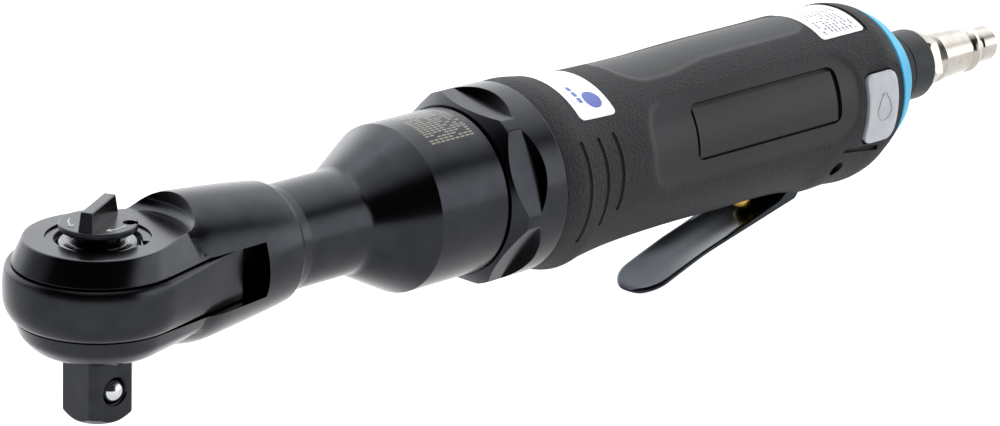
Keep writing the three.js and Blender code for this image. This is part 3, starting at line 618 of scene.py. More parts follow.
# Near the head the forging is slimmer above its middle than below.
for vertex in barrel.data.vertices:
    nearness = min(max((44 - vertex.co.x) / 22, 0), 1)
    above = min(max((vertex.co.z + 4) / 8, 0), 1)
    vertex.co.y *= 1 + (0.03 - 0.12 * above) * nearness ** 2 * (3 - 2 * nearness)
machined(cheeks, [lower_cheek, barrel], "UNION")
crescent = turned("crescent", [
    (HEAD_TOP, 0), (HEAD_TOP, 22.4, 2.6), (24, 22.4), (24, 0)], "Z", 144)
slot = block("slot", (-26, -26, -SLOT_HALF), (SLOT_END, 26, SLOT_HALF))
top_bore = turned("top_bore", [(-7.4, 0), (-7.4, HEAD_BORE_R), (20, HEAD_BORE_R), (20, 0)], "Z")
ring_groove = turned("ring_groove", [(10.8, 0), (10.8, 12.8), (12.0, 12.8), (12.0, 0)], "Z")
drive_bore = turned("drive_bore", [(-20, 0), (-20, DRIVE_BORE_R), (0, DRIVE_BORE_R), (0, 0)], "Z")
crank_bore = turned("crank_bore", [
    (30, 0), (30, 6.6), (39.6, 6.6), (39.6, 8.2), (79.7, 8.2), (79.7, 11.2), (88, 11.2), (88, 13.2),
    (91.8, 13.2), (91.8, GEAR_BORE_R), (130, GEAR_BORE_R), (130, 0)], sides=64)
machined(cheeks, [crescent, slot, top_bore, ring_groove, drive_bore, crank_bore])
edged(cheeks, 0.22)

# %% [markdown]
# On the gear case a laser has left a small panel of marks. Its words are not repeated here: short dashes in
# rows give the eye the same pale, busy patch. They are a finish, not a shape, because a laser only changes
# the skin of the metal. The labels on the grip need the same dashes, so one recipe draws them on any skin
# that runs round the tool's axis: it divides the skin into cells and fills the middle of most of them.

# %% A recipe for rows of dashes
def dash_mask(tree, skin_r, rows, left_out):
    """1 on dashes, 0 elsewhere, and the places in millimetres that it was worked out from.

    Each row of rows is (along or around, cell size, start and end of the panel, filled part of a cell)."""
    where = node(tree, "ShaderNodeSeparateXYZ", links={0: node(tree, "ShaderNodeTexCoord").outputs["Object"]})
    level = node(tree, "ShaderNodeMath", {1: AXIS_HEIGHT}, {0: where.outputs["Z"]}, operation="SUBTRACT")
    facing = node(tree, "ShaderNodeMath", {1: -1.0}, {0: where.outputs["Y"]}, operation="MULTIPLY")
    angle = node(tree, "ShaderNodeMath", links={0: level.outputs[0], 1: facing.outputs[0]},
                 operation="ARCTAN2")
    around = node(tree, "ShaderNodeMath", {1: skin_r}, {0: angle.outputs[0]}, operation="MULTIPLY")
    along = node(tree, "ShaderNodeMath", {1: per_mm(1.0)}, {0: where.outputs["X"]}, operation="MULTIPLY")
    place = {"around": around.outputs[0], "along": along.outputs[0]}
    cell = node(tree, "ShaderNodeCombineXYZ")
    tests = []
    for index, (way, size, panel, filled) in enumerate(rows):
        count = node(tree, "ShaderNodeMath", {1: size}, {0: place[way]}, operation="DIVIDE")
        whole = node(tree, "ShaderNodeMath", links={0: count.outputs[0]}, operation="FLOOR")
        part = node(tree, "ShaderNodeMath", links={0: count.outputs[0]}, operation="FRACT")
        tree.links.new(whole.outputs[0], cell.inputs[index])
        tests += [(place[way], panel), (part.outputs[0], filled)]
    lot = node(tree, "ShaderNodeTexWhiteNoise", links={"Vector": cell.outputs[0]})
    tests.append((lot.outputs["Value"], (left_out, 1.0)))
    mask = None
    for value, limits in tests:
        for limit, rule in zip(limits, ("GREATER_THAN", "LESS_THAN")):
            test = node(tree, "ShaderNodeMath", {1: limit}, {0: value}, operation=rule)
            if mask:
                test = node(tree, "ShaderNodeMath", links={0: mask, 1: test.outputs[0]}, operation="MULTIPLY")
            mask = test.outputs[0]
    return mask, place


# %% [markdown]
# The marks are paler than the oxide but let it show through, so they are mixed in at about a third.

# %% A panel of laser marks in the case's finish
MARK_COLOUR, MARK_STRENGTH = "#a89f8e", 0.34
marked = blackened.copy()
marked.name = "black_oxide_steel_laser_marked"
tree = marked.node_tree
mark_arc = (CASE_R * math.radians(59), CASE_R * math.radians(104))
marks, _ = dash_mask(tree, CASE_R, [
    ("around", 0.85, mark_arc, (0.2, 0.72)), ("along", 1.6, (92.6, 107.0), (0.12, 0.88))], 0.25)
faded = node(tree, "ShaderNodeMath", {1: MARK_STRENGTH}, {0: marks}, operation="MULTIPLY")
skin = node(tree, "ShaderNodeMix", {7: colour(MARK_COLOUR)}, {
    0: faded.outputs[0], 6: tree.nodes["tone"].outputs[0]}, data_type="RGBA")
tree.links.new(skin.outputs[2], tree.nodes["Principled BSDF"].inputs["Base Color"])
print("marks:", round(mark_arc[1] - mark_arc[0], 1), "mm round the case")
placed(cheeks, "head_housing_forging", marked, ["head_housing"])

# %% [markdown]
# ## Ratchet yoke
# The yoke is the middle layer of the head, and it swings a few degrees each way about the drive. Outside it
# bellies out and runs straight back to a tail, so each level of it is an arc with two tangents. Lofting
# those levels gives the soft belly that a simple extrusion would not.

# %% Ratchet yoke
YOKE_HALF, BELLY, UPPER_LOSS, TAIL_END, TAIL_HALF = 6.2, 2.0, 0.8, 31.4, 13.3
TEETH, TOOTH_TIP_R, TOOTH_ROOT_R = 40, 12.4, 13.5

levels = []
for k in range(25):
    z = -YOKE_HALF + 2 * YOKE_HALF * k / 24
    bulge = BELLY * (1 - abs(z / YOKE_HALF) ** 2.6) if z < 0 else BELLY - UPPER_LOSS * (z / YOKE_HALF) ** 3
    rim = 0.3 * max(0, (abs(z) - YOKE_HALF + 0.55) / 0.55) ** 2
    levels.append(tailed_ring(z, CHEEK_R + bulge - rim, TAIL_END, TAIL_HALF))
yoke = from_rings("yoke", levels, False, capped=True)
bore = turned("bore", [(-8, 0), (-8, TOOTH_TIP_R), (8, TOOTH_TIP_R), (8, 0)], "Z", 120)
fork_room = block("fork_room", (22.2, -8.7, -9), (40, 8.7, 9))
machined(yoke, [bore, fork_room])
half = 0.44 * 2 * math.pi / TEETH
gullet = prism("gullet", [
    (12.0, -12.4 * half), (TOOTH_ROOT_R, -0.25), (TOOTH_ROOT_R, 0.25), (12.0, 12.4 * half)], -8, 8)
machined(yoke, [grown(round_axis, gullet, blackened, Count=TEETH, Axis=(0.0, 0.0, 1.0))])
placed(yoke, "ratchet_yoke_forging", blackened, ["ratchet_yoke"], sharp=30)

# %% [markdown]
# ## Drive anvil
# The anvil carries the square drive below and the pawl inside. Its square is milled from a turned end,
# which is why the corners are arcs and the chamfer at the end is curved: a turned cone meets four flats.

# %% Drive anvil
SQUARE, CORNER_R, DRIVE_END, BALL_HEIGHT, ANVIL_R = 12.7, 7.85, -30.6, -23.2, 11.7
square_end = turned("square_end", [
    (DRIVE_END, 0), (DRIVE_END, 6.1, 0.3), (DRIVE_END + 1.5, CORNER_R, 0.4), (-14, CORNER_R),
    (-14, 0)], "Z", 96)
flats = block("flats", (-SQUARE / 2, -SQUARE / 2, DRIVE_END - 1), (SQUARE / 2, SQUARE / 2, -15.8))
neck = block("relief", (-5.9, -5.9, -16), (5.9, 5.9, -14.6))
machined(square_end, [machined(flats, [neck], "UNION")], "INTERSECT")
core = turned("core", [
    (-14.9, 0), (-14.9, 8.5, 0.3), (-6.2, 8.5), (-6.2, ANVIL_R), (9.6, ANVIL_R, 0.3), (9.9, 9.9, 0.5),
    (11.3, 8.6, 1.1), (11.2, 6.2, 1.0), (9.4, 5.2, 0.3), (9.4, 0)], "Z", 96)
machined(square_end, [core], "UNION")
stem_bore = turned("stem_bore", [(-4.6, 0), (-4.6, 3.7), (8, 3.7), (8, 5.2), (14, 5.2), (14, 0)], "Z", 48)
pawl_pocket = block("pawl_pocket", (-13, -6.4, -4.8), (-4.5, 6.4, 4.8))
window = block("window", (-4.8, -4.4, -1.6), (-1, 4.4, 1.6))
pin_hole = rod("pin_hole", (-9, 0, -5.9), (-9, 0, 9.2), 1.5)
ball_hole = rod("ball_hole", (0, -12, BALL_HEIGHT), (0, 3.6, BALL_HEIGHT), 3.05)
angles = [2 * math.pi * k / 48 for k in range(48)]
countersink = from_rings("countersink", [
    [(r * math.cos(a), y, BALL_HEIGHT + r * math.sin(a)) for a in angles]
    for y, r in ((-6.9, 3.9), (-5.6, 3.0))], False, capped=True)
machined(square_end, [stem_bore, pawl_pocket, window, pin_hole, ball_hole, countersink])
edged(square_end, 0.18)
placed(square_end, "square_drive_anvil", blackened, ["drive_anvil"])

# %% [markdown]
# Two bright details sit on the anvil. Its upper rim is polished by the knob that turns on it, and a
# hardened ball is staked in the near side of the square, to hold a socket.

# %% Polished rim and socket ball
rim = turned("rim", [
    (9.7, 5.9, 0.2), (9.75, 9.7, 0.2), (10.1, 9.95, 0.3), (11.45, 8.7, 1.0),
    (11.4, 6.4, 0.9)], "Z", 96, closed=True)
placed(rim, "anvil_rim_polished", polished_black, [], "anvil")

ball_low, ball_high = cad("socket_ball")
ball_r = (ball_high.x - ball_low.x) / 2
ball_centre = (ball_low + ball_high) / 2
rings = []
for k in range(25):
    lift, spread = -ball_r * math.cos(math.pi * k / 24), ball_r * math.sin(math.pi * k / 24)
    around = angles if 0 < k < 24 else angles[:1]
    rings.append([ball_centre + Vector((spread * math.cos(a), lift, spread * math.sin(a))) for a in around])
placed(from_rings("ball", rings, False), "socket_ball_polished", bright, ["socket_ball"], sharp=60)

# %% [markdown]
# ## Retaining ring and reverse knob
# A spring ring in a groove keeps the anvil in the head. It is a turned ring with a gap for its pliers, so
# one block cut out of a ring is enough.

# %% Retaining ring
snap = turned("snap", tube(10.98, 11.82, 12.5, 9.95, 0.22), "Z", 112, closed=True)
gap = block("gap", (8, -1.6, 8), (14, 1.6, 14))
gap.data.transform(Matrix.Rotation(math.radians(-58), 4, "Z"))
machined(snap, [gap])
placed(edged(snap, 0.12), "anvil_snap_ring", blackened, ["anvil_retaining_ring"])

# %% [markdown]
# The knob sets the drive forward or reverse. It is a disc with a tapered thumb bar and one notch, milled
# from the bar that its stem is turned on, so it is a turned blank with the bar joined and the notch cut. It
# is drawn with the bar along x and then turned to where it stands at rest.

# %% Reverse knob
KNOB_TURN, NOTCH_TURN = math.radians(30), math.radians(-72)
knob = turned("knob", [
    (-4.2, 0), (-4.2, 3.4, 0.4), (8.4, 3.4), (8.4, 4.9, 0.3), (13.4, 4.9, 0.6), (14.0, 7.6, 0.4),
    (14.15, 8.9, 0.3), (15.6, 8.9, 0.35), (15.6, 0)], "Z", 96)
thumb_bar = from_rings("thumb_bar", [
    [(-long, -wide, z), (long, -wide, z), (long, wide, z), (-long, wide, z)]
    for z, long, wide in ((15.0, 8.3, 1.75), (20.0, 7.3, 1.4))], False, capped=True)
edged(thumb_bar, 0.3, 30, 3)
machined(knob, [thumb_bar], "UNION")
notch = rod("notch", (7.0, 0, 13), (7.0, 0, 17), 1.55, 32)
outlet = block("outlet", (7.0, -0.9, 13.2), (12, 0.9, 16.8))
machined(notch, [outlet], "UNION")
notch.data.transform(Matrix.Rotation(NOTCH_TURN, 4, "Z"))
machined(knob, [notch])
plunger_bore = rod("plunger_bore", (2.2, 0, 0), (-5, 0, 0), 1.35)
machined(knob, [plunger_bore])
knob.data.transform(Matrix.Rotation(KNOB_TURN, 4, "Z"))
# The knob's finish is the oxide painted a little lighter, which is a painted highlight.
placed(knob, "reverse_knob_with_thumb_bar", knob_black_painted_lighter, ["reverse_knob"])

# %% [markdown]
# Two faint curved arrows on the disc say which way the drive turns. They are thin fillets of light paint,
# swept along an arc of the disc by the path tree.


# %% Turning marks on the knob
def arrow(centre_degrees, way):
    """An arc and its two barbs, as three lines on the disc's top."""
    radius, height, barb_length = 6.6, 15.6, 1.3
    arc = []
    for k in range(13):
        a = math.radians(centre_degrees + way * (k - 6) * 4.2)
        arc.append(Vector((radius * math.cos(a), radius * math.sin(a), height)))
    back = (arc[-2] - arc[-1]).normalized() * barb_length
    barbs = [Matrix.Rotation(math.radians(spread), 3, "Z") @ back for spread in (32, -32)]
    return [arc] + [[arc[-1], arc[-1] + barb] for barb in barbs]


arrows = path_mesh("arrows", *arrow(118, 1), *arrow(-118, -1))
marks_on_disc = grown(along_path, arrows, pale_ink, Radius=0.16)
marks_on_disc.data.transform(Matrix.Rotation(KNOB_TURN, 4, "Z"))
placed(marks_on_disc, "turning_marks", pale_ink, [], "knob")

# %% [markdown]
# ## Clamp ring
# The ring that draws the two housings together has six flats for a wrench. Each flat is milled with a large
# cutter, so it ends in a curved wall. One cutter is drawn and the tree repeats it six times.

# %% Clamp ring
RING_R, RING_FLATS, FLAT_CURVE_R = 24.2, 43.7, 21.4
ring_start, ring_end = cad("clamp_ring")[0].x, cad("clamp_ring")[1].x
ring = turned("ring", [
    (ring_start, 19.9, 0.3), (ring_start, 21.2, 0.3), (ring_start + 3.0, RING_R, 0.4),
    *[(ring_start + 3.8 + 1.1 * k, RING_R) for k in range(11)], (ring_end, RING_R, 0.5),
    (ring_end, 19.9, 0.3)], sides=180, closed=True)
cutter_x = ring_start + 9.9 - FLAT_CURVE_R
flat_cutter = rod("flat_cutter", (cutter_x, 0, RING_FLATS / 2), (cutter_x, 0, 30), FLAT_CURVE_R, 96)
front_only = block("front_only", (ring_start - 1, -12, 20), (ring_end, 12, 31))
machined(flat_cutter, [front_only], "INTERSECT")
machined(ring, [grown(round_axis, flat_cutter, blackened, Count=6, Start=math.radians(7))])
placed(edged(ring, 0.2, 28), "clamp_ring_six_flats", blackened, ["clamp_ring"])

# %% [markdown]
# ## Grip
# The grip is a moulded sleeve whose section changes along it, with a bulge under the fingers' end. Its
# section is given at a few stations and drawn smoothly through them. Everything on it is placed by a
# distance along the tool and an angle round it, from the near side upwards, as if the sleeve's skin were
# unrolled.

# %% The grip's skin
# Each station: place along the tool, then the radius above, beside and below the axis.
STATIONS = np.array([
    [127.1, 23.8, 23.8, 23.8], [132.0, 24.1, 24.2, 24.4], [138.5, 23.3, 23.6, 26.1],
    [143.0, 22.7, 23.1, 25.2], [156.0, 22.0, 22.5, 23.8], [176.0, 21.8, 22.0, 23.3],
    [200.0, 22.3, 22.2, 23.6], [224.0, 22.4, 22.4, 24.2], [233.0, 22.5, 22.5, 25.8],
    [242.0, 22.6, 22.6, 25.6], [250.0, 22.6, 22.6, 26.1], [254.0, 22.6, 22.6, 25.3],
    [259.2, 21.7, 21.7, 22.1]])
GRIP_BORE_R = 20.5
SKIN_R = 22.3
ARC_MM = math.radians(SKIN_R)   # one degree round the skin, in millimetres


def section_at(x):
    """Radii above, beside and below the axis, on a cubic through the stations."""
    places = STATIONS[:, 0]
    slopes = np.gradient(STATIONS[:, 1:], places, axis=0) * 0.8
    i = int(np.clip(np.searchsorted(places, x) - 1, 0, len(places) - 2))
    span = places[i + 1] - places[i]
    t = float(np.clip((x - places[i]) / span, 0, 1))
    start, end = STATIONS[i, 1:], STATIONS[i + 1, 1:]
    return ((2 * t ** 3 - 3 * t ** 2 + 1) * start + (t ** 3 - 2 * t ** 2 + t) * span * slopes[i]
            + (3 * t ** 2 - 2 * t ** 3) * end + (t ** 3 - t ** 2) * span * slopes[i + 1])


def box_distance(x, s, low, high, corner):
    """Distance in millimetres to a rounded panel on the unrolled skin; negative inside it."""
    centre = [(a + b) / 2 for a, b in zip(low, high)]
    half = [(b - a) / 2 - corner for a, b in zip(low, high)]
    dx, ds = abs(x - centre[0]) - half[0], abs(s - centre[1]) - half[1]
    return math.hypot(max(dx, 0), max(ds, 0)) + min(max(dx, ds), 0) - corner


def soft_step(distance, width):
    """1 inside a panel, 0 outside, with an edge of this width."""
    t = min(max(0.5 - distance / width, 0), 1)
    return t * t * (3 - 2 * t)


def near_side(degrees):
    """Folds the far side onto the near side, so both carry the same panels."""
    folded = degrees % 360
    folded = folded - 360 if folded > 270 else folded
    return 180 - folded if folded > 90 else folded


def panels(x, degrees):
    """How far a place lies in the side panel and in the top panel, from 0 to 1."""
    side = box_distance(x, near_side(degrees) * ARC_MM, (160.0, -6.2), (240.0, 18.0), 9.0)
    half_width = 26 * ARC_MM if x < 178 else (26 - 6 * min((x - 178) / 14, 1)) * ARC_MM
    top = box_distance(x, (90 - near_side(degrees)) * ARC_MM, (162.4, -30.0), (236.0, half_width), 8.0)
    return soft_step(side, 2.4), soft_step(top, 1.6)


def on_grip(x, degrees, proud=0.0):
    """A point on the skin, or proud of it."""
    above, beside, below = section_at(x)
    a = math.radians(degrees)
    level = above if math.sin(a) > 0 else below
    radius = math.hypot(beside * math.cos(a), level * math.sin(a)) + proud
    return Vector((x, -radius * math.cos(a), radius * math.sin(a)))


def relief(x, degrees):
    """What the mould adds to the plain skin: sunk panels and a scoop round the oil plug."""
    side, top = panels(x, degrees)
    from_near = (degrees + 180) % 360 - 180
    plug = soft_step(box_distance(x, from_near * ARC_MM, (242.2, -11.6), (258.2, 11.2), 3.4), 1.4)
    return -0.22 * side - 0.3 * top - 0.5 * plug


print("skin at 200 mm, near side:", [round(v, 1) for v in on_grip(200, 0)])

# %% [markdown]
# The sleeve is lofted finely enough for its soft panels, with a plain bore inside. The crisp features are
# cut afterwards: three curved finger grooves, the border of the name panel, the pockets of the plug and the
# rear label, the lever's slot, the pin's hole and a short slit.

# %% Loft the sleeve
AROUND = 168
grip_start, grip_end = STATIONS[0, 0], STATIONS[-1, 0]
along = [grip_start + (grip_end - grip_start) * k / 132 for k in range(133)]
rings = []
for lip, inset in ((0.0, 0.45), (0.12, 0.15)):
    rings.append([on_grip(grip_start + lip, 360 * k / AROUND, -inset) for k in range(AROUND)])
for x in along[1:-1]:
    rings.append([on_grip(x, 360 * k / AROUND, relief(x, 360 * k / AROUND)) for k in range(AROUND)])
for lip, inset in ((0.35, 0.1), (0.1, 0.3), (0.0, 0.7)):
    rings.append([on_grip(grip_end - lip, 360 * k / AROUND, -inset) for k in range(AROUND)])
for x in (grip_end, grip_start):
    angles = [2 * math.pi * k / AROUND for k in range(AROUND)]
    rings.append([(x, -GRIP_BORE_R * math.cos(a), GRIP_BORE_R * math.sin(a)) for a in angles])
grip = from_rings("grip", rings, True)
print("sleeve blank:", len(grip.data.polygons), "faces")


# %% [markdown]
# Labels, the plug and their pockets lie on the skin, so each is an outline on the unrolled skin that is
# lifted to two heights and joined. The inside is filled with smaller copies of the outline, because one
# flat face would cut the curve of the grip short.


# %% Plates and bands that follow the skin
def panel_outline(x0, x1, deg0, deg1, corner, pitch=1.6):
    """A rounded rectangle on the unrolled skin, as (x, degrees) points at a steady pitch."""
    low, high = deg0 * ARC_MM, deg1 * ARC_MM
    turns = rounded([(x0, low, corner), (x1, low, corner), (x1, high, corner), (x0, high, corner)], True)
    points = []
    for here, there in zip(turns, turns[1:] + turns[:1]):
        steps = max(1, round((there - here).length / pitch))
        points += [here.lerp(there, k / steps) for k in range(steps)]
    return [(p.x, p.y / ARC_MM) for p in points]


def drawn_in(outline, along, around):
    """The outline scaled towards its middle, by one factor along the tool and one round it."""
    xs, degs = zip(*outline)
    cx, cd = (min(xs) + max(xs)) / 2, (min(degs) + max(degs)) / 2
    return [(cx + (x - cx) * along, cd + (d - cd) * around) for x, d in outline]


def shrunk(outline, by):
    """The outline moved inwards by some millimetres on each side."""
    xs, degs = zip(*outline)
    length, height = max(xs) - min(xs), (max(degs) - min(degs)) * ARC_MM
    return drawn_in(outline, 1 - 2 * by / length, 1 - 2 * by / height)


def skin_plate(name, outline, low, high, brow=0.25):
    """A plate that follows the skin between two heights, with a rounded upper edge."""
    inside = [drawn_in(shrunk(outline, brow), 1 - k / 12, 1 - k / 12) for k in range(12)]
    rings = [[on_grip(x, d, low) for x, d in smaller] for smaller in reversed(inside)]
    rings.append([on_grip(x, d, low) for x, d in outline])
    rings.append([on_grip(x, d, high - brow * 0.7) for x, d in outline])
    rings.append([on_grip(x, d, high - brow * 0.2) for x, d in shrunk(outline, brow * 0.3)])
    rings += [[on_grip(x, d, high) for x, d in smaller] for smaller in inside]
    return from_rings(name, rings, False, capped=True)


def skin_band(name, outer, inner, low, high):
    """A closed band between two outlines on the skin, as a cutter for a groove."""
    rings = [[on_grip(x, d, h) for x, d in outline] for outline, h in
             ((outer, low), (outer, high), (inner, high), (inner, low))]
    return from_rings(name, rings, True)


# %% [markdown]
# The finger grooves are arcs of round section that lie half in the skin. The path tree sweeps each of them,
# and the border of the name panel, which is left blank, is a band that is wider at its rear end.

# %% Cut the grooves and the panel's border
GROOVES = [(134.2, 32, -33), (141.0, 32, -25), (146.9, 33, -18)]
cutters = []
for x, high, low in GROOVES:
    for flip in (1, -1):
        points = []
        for k in range(41):
            degrees = high + (low - high) * k / 40
            bow = 1.0 * (1 - ((degrees - (high + low) / 2) / ((high - low) / 2)) ** 2)
            points.append(on_grip(x + bow, degrees if flip > 0 else 180 - degrees, 0.12))
        cutters.append(grown(along_path, path_mesh("groove", points), blackened, Radius=0.68))
for k in range(0, len(cutters), 2):
    machined(grip, cutters[k:k + 2])

PANEL = (176.6, 232.4, -1.6, 38.0)
x0, x1, d0, d1 = PANEL
for flip in (1, -1):
    outer = panel_outline(*PANEL, 2.6)
    inner = [(min(max(x, x0 + 0.8), x1 - 1.7), min(max(d, d0 + 0.8 / ARC_MM), d1 - 1.3 / ARC_MM))
             for x, d in outer]
    if flip < 0:
        outer, inner = ([(x, 180 - d) for x, d in line] for line in (outer, inner))
    machined(grip, [skin_band("border", outer, inner, -1.15, 1.5)])
print("sleeve with grooves:", len(grip.data.polygons), "faces")

# %% [markdown]
# The plug and the rear label sit in pockets cut by plates of their own outline, a little larger. Below, the
# lever has a slot with room for its ears, the pin has a cross hole, and a short slit marks where the mould
# closed. Each is one cutter, used in turn, because exact booleans are surest with a few clean shapes.

# %% Cut the pockets, the slot and the holes
plug_low, plug_high = cad("oil_port_plug")
PLUG = (plug_low.x, plug_high.x, -24.4, 25.0)
plug_outline = panel_outline(*PLUG, 3.0)
pocket_outline = shrunk(plug_outline, -0.6)
pocket = skin_plate("pocket", pocket_outline, -1.6, 2.0, 0.02)
machined(grip, [pocket])
lever_pin_low, lever_pin_high = cad("lever_pin")
pin_x = (lever_pin_low.x + lever_pin_high.x) / 2
pin_z = (lever_pin_low.z + lever_pin_high.z) / 2
LEVER_HALF, LEVER_ROOM = 8.0, 0.8
lever_slot = block("lever_slot", (188, -LEVER_HALF - LEVER_ROOM, -32), (234, LEVER_HALF + LEVER_ROOM, -12))
ear_room = block("ear_room", (233, -LEVER_HALF - LEVER_ROOM, -21.8), (238.2, LEVER_HALF + LEVER_ROOM, -12))
pin_hole = rod("pin_hole", (pin_x, -30, pin_z), (pin_x, 30, pin_z), 2.1)
machined(grip, [lever_slot, ear_room])
machined(grip, [pin_hole])
slit_line = [on_grip(236 + 15 * k / 12, -25.5 - 5.6 * k / 12, -0.45) for k in range(13)]
slit = grown(along_path, path_mesh("slit", slit_line), blackened, Radius=0.75)
machined(grip, [slit])
rear_low, rear_high = cad("rear_label")
rear_pocket = panel_outline(rear_low.x - 0.6, rear_high.x + 1.0, 56, 124, 1.6)
machined(grip, [skin_plate("rear_pocket", rear_pocket, -0.35, 2.0, 0.02)])
print("sleeve with pockets:", len(grip.data.polygons), "faces")

# %% [markdown]
# The sleeve is black composite from a grained mould. The grain is fine and leathery on the body, while the
# top and side panels are smooth and a little glossier. An attribute on the mesh says where the smooth
# panels are, so that their border follows the skin at any size of the pattern.

# %% Grained composite
GRAIN_MM = 0.6                  # the real grain is about 0.5 mm; drawn slightly coarser so that it shows
zone = grip.data.attributes.new("smooth_panel", "FLOAT", "POINT")
values = []
for vertex in grip.data.vertices:
    x, y, z = vertex.co
    side, top = panels(x, math.degrees(math.atan2(z, -y)))
    values.append(max(0.96 * side, top))
zone.data.foreach_set("value", values)

composite = finish("grained_black_composite", "#121315", "#0e0f11", 0.0, 0.46, 0.58, 9.0, 0.3, 0.004,
                   Specular_IOR_Level=0.26)
tree = composite.node_tree
place = node(tree, "ShaderNodeTexCoord")
leather = node(tree, "ShaderNodeTexVoronoi", {"Scale": per_mm(GRAIN_MM), "Randomness": 1.0},
               {"Vector": place.outputs["Object"]}, feature="SMOOTH_F1")
wander = node(tree, "ShaderNodeTexNoise", {"Scale": per_mm(0.3), "Detail": 1.0},
              {"Vector": place.outputs["Object"]})
mixed = node(tree, "ShaderNodeMath", links={0: leather.outputs["Distance"], 1: wander.outputs[0]},
             operation="ADD")
panel = node(tree, "ShaderNodeAttribute", attribute_name="smooth_panel")
rough_part = node(tree, "ShaderNodeMath", {0: 1.0}, {1: panel.outputs["Fac"]}, operation="SUBTRACT")
depth = node(tree, "ShaderNodeMath", links={0: mixed.outputs[0], 1: rough_part.outputs[0]},
             operation="MULTIPLY")
crest = node(tree, "ShaderNodeMapRange", {1: 0.3, 2: 1.1, 3: 0.75, 4: 0.0}, {0: mixed.outputs[0]})
worn_part = node(tree, "ShaderNodeMath", links={0: crest.outputs[0], 1: rough_part.outputs[0]},
                 operation="MULTIPLY")
flecked = node(tree, "ShaderNodeMix", {7: colour("#2c2d31")}, {
    0: worn_part.outputs[0], 6: tree.nodes["tone"].outputs[0]}, data_type="RGBA")
tree.links.new(flecked.outputs[2], tree.nodes["Principled BSDF"].inputs["Base Color"])
grained = node(tree, "ShaderNodeBump", {"Strength": 1.0, "Distance": 0.22 * MM}, {
    "Height": depth.outputs[0], "Normal": tree.nodes["relief"].outputs[0]})
worn = node(tree, "ShaderNodeMapRange", {1: 0.0, 2: 1.0, 3: 0.6, 4: 0.4}, {0: panel.outputs["Fac"]})
sheen = node(tree, "ShaderNodeMath", {1: 0.08}, {0: tree.nodes["grain"].outputs[0]}, operation="MULTIPLY_ADD")
tree.links.new(worn.outputs[0], sheen.inputs[2])
shader = tree.nodes["Principled BSDF"]
tree.links.new(sheen.outputs[0], shader.inputs["Roughness"])
tree.links.new(grained.outputs[0], shader.inputs["Normal"])
placed(grip, "grip_sleeve_grained", composite, ["grip_sleeve"], sharp=30)

# %% [markdown]
# ## Labels and oil plug
# Both labels are thin printed film, laid on the curve of the grip. Their print is made generic: a plain dot
# and rows of short dashes, from the same recipe as the laser's marks, in the film's finish.


# %% Printed film
def printed_film(name, row_mm, dash_mm, ink, window, dot=None):
    """White film with dashes in a window of (x0, x1, deg0, deg1), and maybe a dot of (x, deg, radius)."""
    made = finish(name, "#eceef1", "#e4e6ea", 0.0, 0.3, 0.4, 5.0, 0.4, 0.002)
    tree = made.node_tree
    x0, x1, deg0, deg1 = window
    mask, place = dash_mask(tree, SKIN_R, [
        ("along", row_mm, (x0, x1), (0.25, 0.7)),
        ("around", dash_mm, (deg0 * ARC_MM, deg1 * ARC_MM), (0.1, 0.9))], 0.3)
    layer = node(tree, "ShaderNodeMix", {7: colour(ink)}, {0: mask, 6: tree.nodes["tone"].outputs[0]},
                 data_type="RGBA").outputs[2]
    if dot:
        spot = node(tree, "ShaderNodeCombineXYZ", links={0: place["along"], 1: place["around"]})
        away = node(tree, "ShaderNodeVectorMath", {1: (dot[0], dot[1] * ARC_MM, 0)}, {0: spot.outputs[0]},
                    operation="DISTANCE")
        disc = node(tree, "ShaderNodeMath", {1: dot[2]}, {0: away.outputs["Value"]}, operation="LESS_THAN")
        layer = node(tree, "ShaderNodeMix", {7: colour(ink)}, {0: disc.outputs[0], 6: layer},
                     data_type="RGBA").outputs[2]
    tree.links.new(layer, tree.nodes["Principled BSDF"].inputs["Base Color"])
    return made


front_low, front_high = cad("front_label")
front_film = printed_film("printed_white_film", 3.2, 2.2, "#3c50a0", (139.6, 143.4, 56, 84),
                          (146.6, 58.5, 2.8))
front_label = skin_plate("front", panel_outline(front_low.x, front_high.x, 44.5, 104, 1.5), -0.3, 0.1, 0.06)
placed(front_label, "front_label_film", front_film, ["front_label"])
rear_film = printed_film("printed_grey_film", 1.5, 1.1, "#4a4d55",
                         (rear_low.x + 1.4, rear_high.x - 1.4, 61, 104))
rear_label = skin_plate("rear", panel_outline(rear_low.x, rear_high.x, 57.5, 122.5, 1.2), -0.6, -0.22, 0.06)
placed(rear_label, "rear_label_film", rear_film, ["rear_label"])

# %% [markdown]
# The oil plug is soft grey rubber, pressed into its pocket. An outline of a drop is sunk into it, which
# says what it is for without a word; the path tree cuts it as a fine round groove that stays open at its
# tip.

# %% Oil plug
plug = skin_plate("plug", plug_outline, -1.55, 0.35, 0.5)
drop_x, drop_deg = (PLUG[0] + PLUG[1]) / 2, -1.0
drop_line = []
for k in range(33):
    t = 2 * math.pi * k / 33
    lift = 4.6 if math.cos(t) > 0 else 2.8
    drop_line.append((drop_x + 2.8 * math.sin(t) * (1 - 0.5 * max(0, math.cos(t))),
                      drop_deg + lift * math.cos(t) / ARC_MM))
drop_path = [on_grip(x, d, 0.38) for x, d in drop_line[1:]]
machined(plug, [grown(along_path, path_mesh("drop", drop_path), grey_rubber, Radius=0.32)])
placed(plug, "oil_port_plug_soft", grey_rubber, ["oil_port_plug"])

# %% [markdown]
# ## Throttle lever
# The lever is pressed from one sheet of steel: a blade with a rounded tip and low upturned sides, and two
# ears that straddle the pin. The blade is lofted through sections of the sheet, each with rolled edges,
# because a flat plate with a bevel would not give the tip its soft edge. The ears are cut from flat sheet
# and joined.

# %% Throttle lever
SHEET = 1.6
BLADE_SLOPE = 0.252
BLADE_END = 232.6
lever_low, lever_high = cad("throttle_lever")
tip_x = lever_low.x


def blade_low(x):
    """Height of the blade's lower side."""
    return -26.7 - BLADE_SLOPE * (BLADE_END - x)


